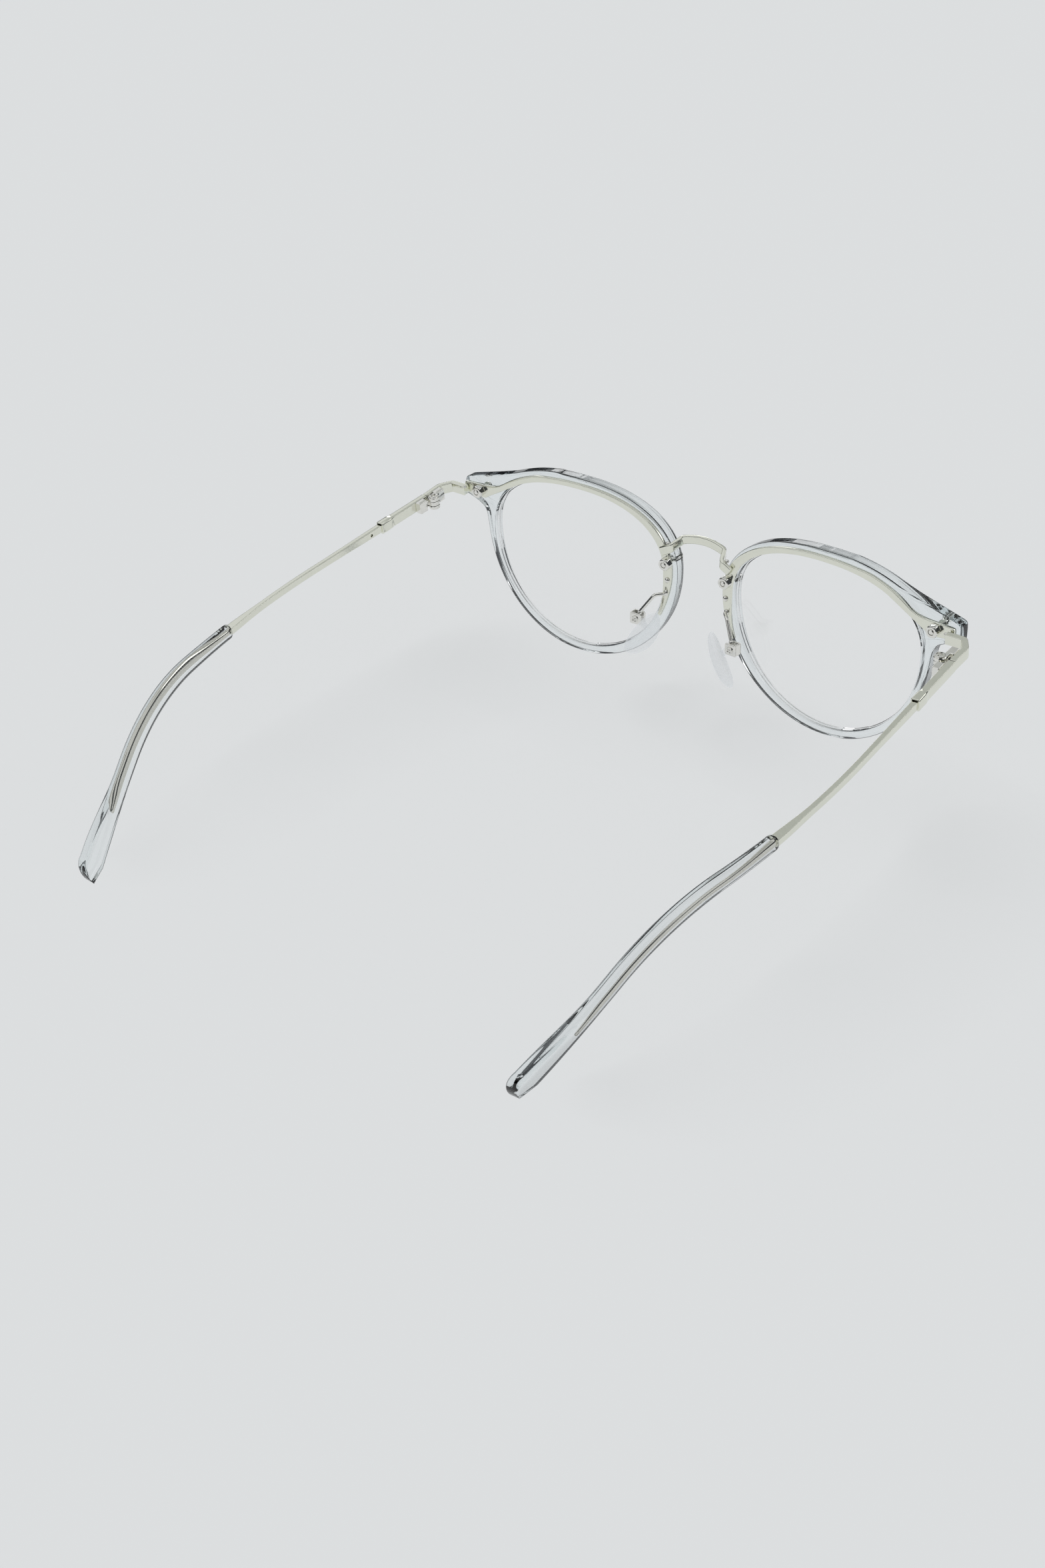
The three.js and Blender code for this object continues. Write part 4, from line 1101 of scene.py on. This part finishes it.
# tip: a squared oval with a straight lower edge that swells up to a paddle, a round mouth and a sloping end
def makeTip():
    start, endRound, mouth = tip["start"], tip["endRound"], np.array(tip["lipWays"])
    roundStart = templeLength - endRound
    shaft = np.linspace(start + tip["lipLength"], roundStart, 150)
    ends = roundStart + endRound * np.sin(np.linspace(0, math.pi / 2 * tip["endPole"], 32)[1:])
    along = np.concatenate([start + mouth, shaft, ends])
    share = smoothStep(along, templeLength - tip["paddleLength"], roundStart)
    mix = lambda narrow, wide: tip[narrow] + (tip[wide] - tip[narrow]) * share
    run = np.clip((along - roundStart) / endRound, 0, 1)
    fall = np.sqrt(1 - run**2)
    lip = np.sqrt(1 - (1 - mouth / tip["lipLength"]) ** 2)
    opened = tip["mouth"] + (1 - tip["mouth"]) * smoothStep(along - start, 0, tip["mouthLength"])
    opened[:len(mouth)] *= tip["lipShare"] + (1 - tip["lipShare"]) * lip
    thin = tip["endShare"] + (1 - tip["endShare"]) * fall
    width = mix("thickness", "paddleThickness") * opened * thin
    height = mix("height", "paddleHeight") * opened * fall
    lowEdge = tip["endRise"] * run - opened * tip["height"] / 2
    power = mix("power", "paddlePower")[:, None]
    a = roundTurn(96)
    c, s = np.cos(a)[None], np.sin(a)[None]
    reach = (np.abs(c) ** power + np.abs(s) ** power) ** (-1 / power)
    up = lowEdge[:, None] + height[:, None] / 2 * (1 + reach * s)
    return alongTemple(along, np.stack([width[:, None] / 2 * reach * c, up], -1))


frontPath = [(temple["middle"], temple["buttGap"] / 2, 0), (temple["middle"], frontEnd, 0)]
addPair("temple_front", [frontStrip(frontPath, temple["thickness"])], fromTemple, champagne)
collarShell, shadePlugShell = makeCollar()
addPair("temple_collar", [collarShell], fromTemple, champagne)
# the mouth piece is a dark plug of painted shade round the bar inside the collar's end
addPair("temple_collar", [shadePlugShell], fromTemple, recess, label="mouth", stands=False)
addPair("temple_bar", [makeBar()], fromTemple, champagne)
addPair("temple_bar", [makeCore()], fromTemple, coreMetal, label="core", stands=False)
addPair("temple_tip", [makeTip()], fromTemple, clearTip, clear=True, sharp=60)
print("temples made")

# stage: a pale floor, a soft sun, and a pale sky that metal and plastic show too
studio = {
    "pale": (0.716, 0.730, 0.737),
    "floor": (0.795, 0.803, 0.807),
    "floorHalf": 3.0,
    "skyFill": 0.76,
    "sunStrength": 1.3,
    "sunAngle": 50,
    "sunTurn": (28, 12, 40),
    "dark": (0.07, 0.074, 0.08),
    "darkRadius": 0.7,
    "darkSpan": (0.001, 0.31),
    "darkSides": 64,
}
# flat cards: the way from the object, the half sizes and distance in metres, the colour and the glow
cards = {
    "behind_card": ((-0.55, 0.58, 0.60), (0.6, 0.5), 1.2, studio["dark"], 0.0),
    "grey_card": ((-0.05, -0.72, 0.69), (1.0, 0.42), 1.2, (0.72, 0.73, 0.71), 0.0),
    "white_card": ((-0.56, -0.68, 0.48), (0.22, 0.16), 1.2, (1.0, 1.0, 1.0), 1.3),
    "low_card": ((0.52, -0.80, 0.31), (0.16, 0.05), 0.62, (1.0, 1.0, 1.0), 1.3),
}


# object of the stage from corners and faces, matt, dull or glowing
def stageMesh(name, corners, faces, finishName, colour, glow=0.0):
    mesh = bpy.data.meshes.new(name)
    mesh.from_pydata(np.array(corners, float).tolist(), [], faces)
    matt = {"Base Color": (*colour, 1), "Roughness": 1.0, "Specular IOR Level": 0.0}
    light = {"Emission Color": (*colour, 1), "Emission Strength": glow}
    mesh.materials.append(newFinish(finishName, {**matt, **light})[0])
    made = bpy.data.objects.new(name, mesh)
    bpy.context.scene.collection.objects.link(made)
    return made


# floor: one square under the pair
def makeFloor():
    half = studio["floorHalf"]
    corners = [(-half, -half, 0), (half, -half, 0), (half, half, 0), (-half, half, 0)]
    floor = stageMesh("floor", corners, [(0, 1, 2, 3)], "pale floor", studio["floor"])


# card of the studio that only gloss and clear plastic show
def makeCard(name, corners, faces, colour, glow):
    card = stageMesh(name, corners, faces, name, colour, glow)
    card.visible_camera = False
    card.visible_diffuse = False
    card.visible_shadow = False


# flat card that faces the object from one way: corners on two lines square to that way
def flatCard(name, way, half, distance, colour, glow):
    way = unit(np.array(way))
    across = unit(np.cross(way, (0, 0, 1)))
    up = np.cross(across, way)
    corners = [distance * way + i * half[0] * across + j * half[1] * up
               for i, j in ((-1, -1), (1, -1), (1, 1), (-1, 1))]
    makeCard(name, corners, [(0, 1, 2, 3)], colour, glow)


# dark band all round and dark card behind the camera, a grey card in front above, and two white light cards
def makeSurround():
    sides, radius = studio["darkSides"], studio["darkRadius"]
    band = circles([(radius, z) for z in studio["darkSpan"]], sides).reshape(-1, 3)
    here, there = np.arange(sides), np.roll(np.arange(sides), -1)
    faces = np.stack([here, there, there + sides, here + sides], -1).tolist()
    makeCard("dark_room", band, faces, studio["dark"], 0.0)
    for name, card in cards.items():
        flatCard(name, *card)


# light: a sky at full strength where it is seen, mirrored or seen through, and weaker as fill, and a wide sun
def makeLight():
    world = bpy.data.worlds.new("studio")
    bpy.context.scene.world = world
    world.use_nodes = True
    tree = world.node_tree
    sky = tree.nodes["Background"]
    sky.inputs["Color"].default_value = (*studio["pale"], 1)
    path = tree.nodes.new("ShaderNodeLightPath")
    seen = path.outputs["Is Camera Ray"]
    for ray in ("Is Glossy Ray", "Is Transmission Ray"):
        either = tree.nodes.new("ShaderNodeMath")
        either.operation = "MAXIMUM"
        tree.links.new(seen, either.inputs[0])
        tree.links.new(path.outputs[ray], either.inputs[1])
        seen = either.outputs[0]
    addRange(tree, seen, sky.inputs["Strength"], studio["skyFill"], 1.0)
    sun = bpy.data.lights.new("soft sun", "SUN")
    sun.energy = studio["sunStrength"]
    sun.angle = math.radians(studio["sunAngle"])
    lamp = bpy.data.objects.new("soft sun", sun)
    lamp.rotation_euler = [math.radians(v) for v in studio["sunTurn"]]
    lamp.visible_glossy = False
    lamp.visible_transmission = False
    bpy.context.scene.collection.objects.link(lamp)


# camera at the photograph's place: its angles and place are given before the pair is set down
view = {
    "azimuth": 223.545,
    "elevation": 37.147,
    "roll": -8.032,
    "lens": 48.49,
    "sensor": 36.0,
    "nearest": 0.01,
    "place": (-239.38, 313.27, 276.98),
}


# camera: its back way from azimuth and elevation, its right and up ways rolled about that, all set at rest
def makeCamera():
    az, el, roll = (math.radians(view[k]) for k in ("azimuth", "elevation", "roll"))
    back = np.array([math.sin(az) * math.cos(el), -math.cos(az) * math.cos(el), math.sin(el)])
    right = unit(np.cross(-back, (0, 0, 1)))
    up = np.cross(right, -back)
    c, s = math.cos(roll), math.sin(roll)
    axes = turn("x", restTurn) @ np.stack([c * right + s * up, c * up - s * right, back], -1)
    place = fromPosture(np.array([view["place"]]))[0] / 1000
    camera = bpy.data.cameras.new("camera")
    camera.lens = view["lens"]
    camera.sensor_width = view["sensor"]
    camera.clip_start = view["nearest"]
    eye = bpy.data.objects.new("camera", camera)
    eye.matrix_world = Matrix([*np.column_stack([axes, place]).tolist(), (0, 0, 0, 1)])
    bpy.context.scene.collection.objects.link(eye)
    bpy.context.scene.camera = eye


makeFloor()
makeSurround()
makeLight()
makeCamera()
bpy.context.scene.view_settings.view_transform = "Standard"
print("stage made")
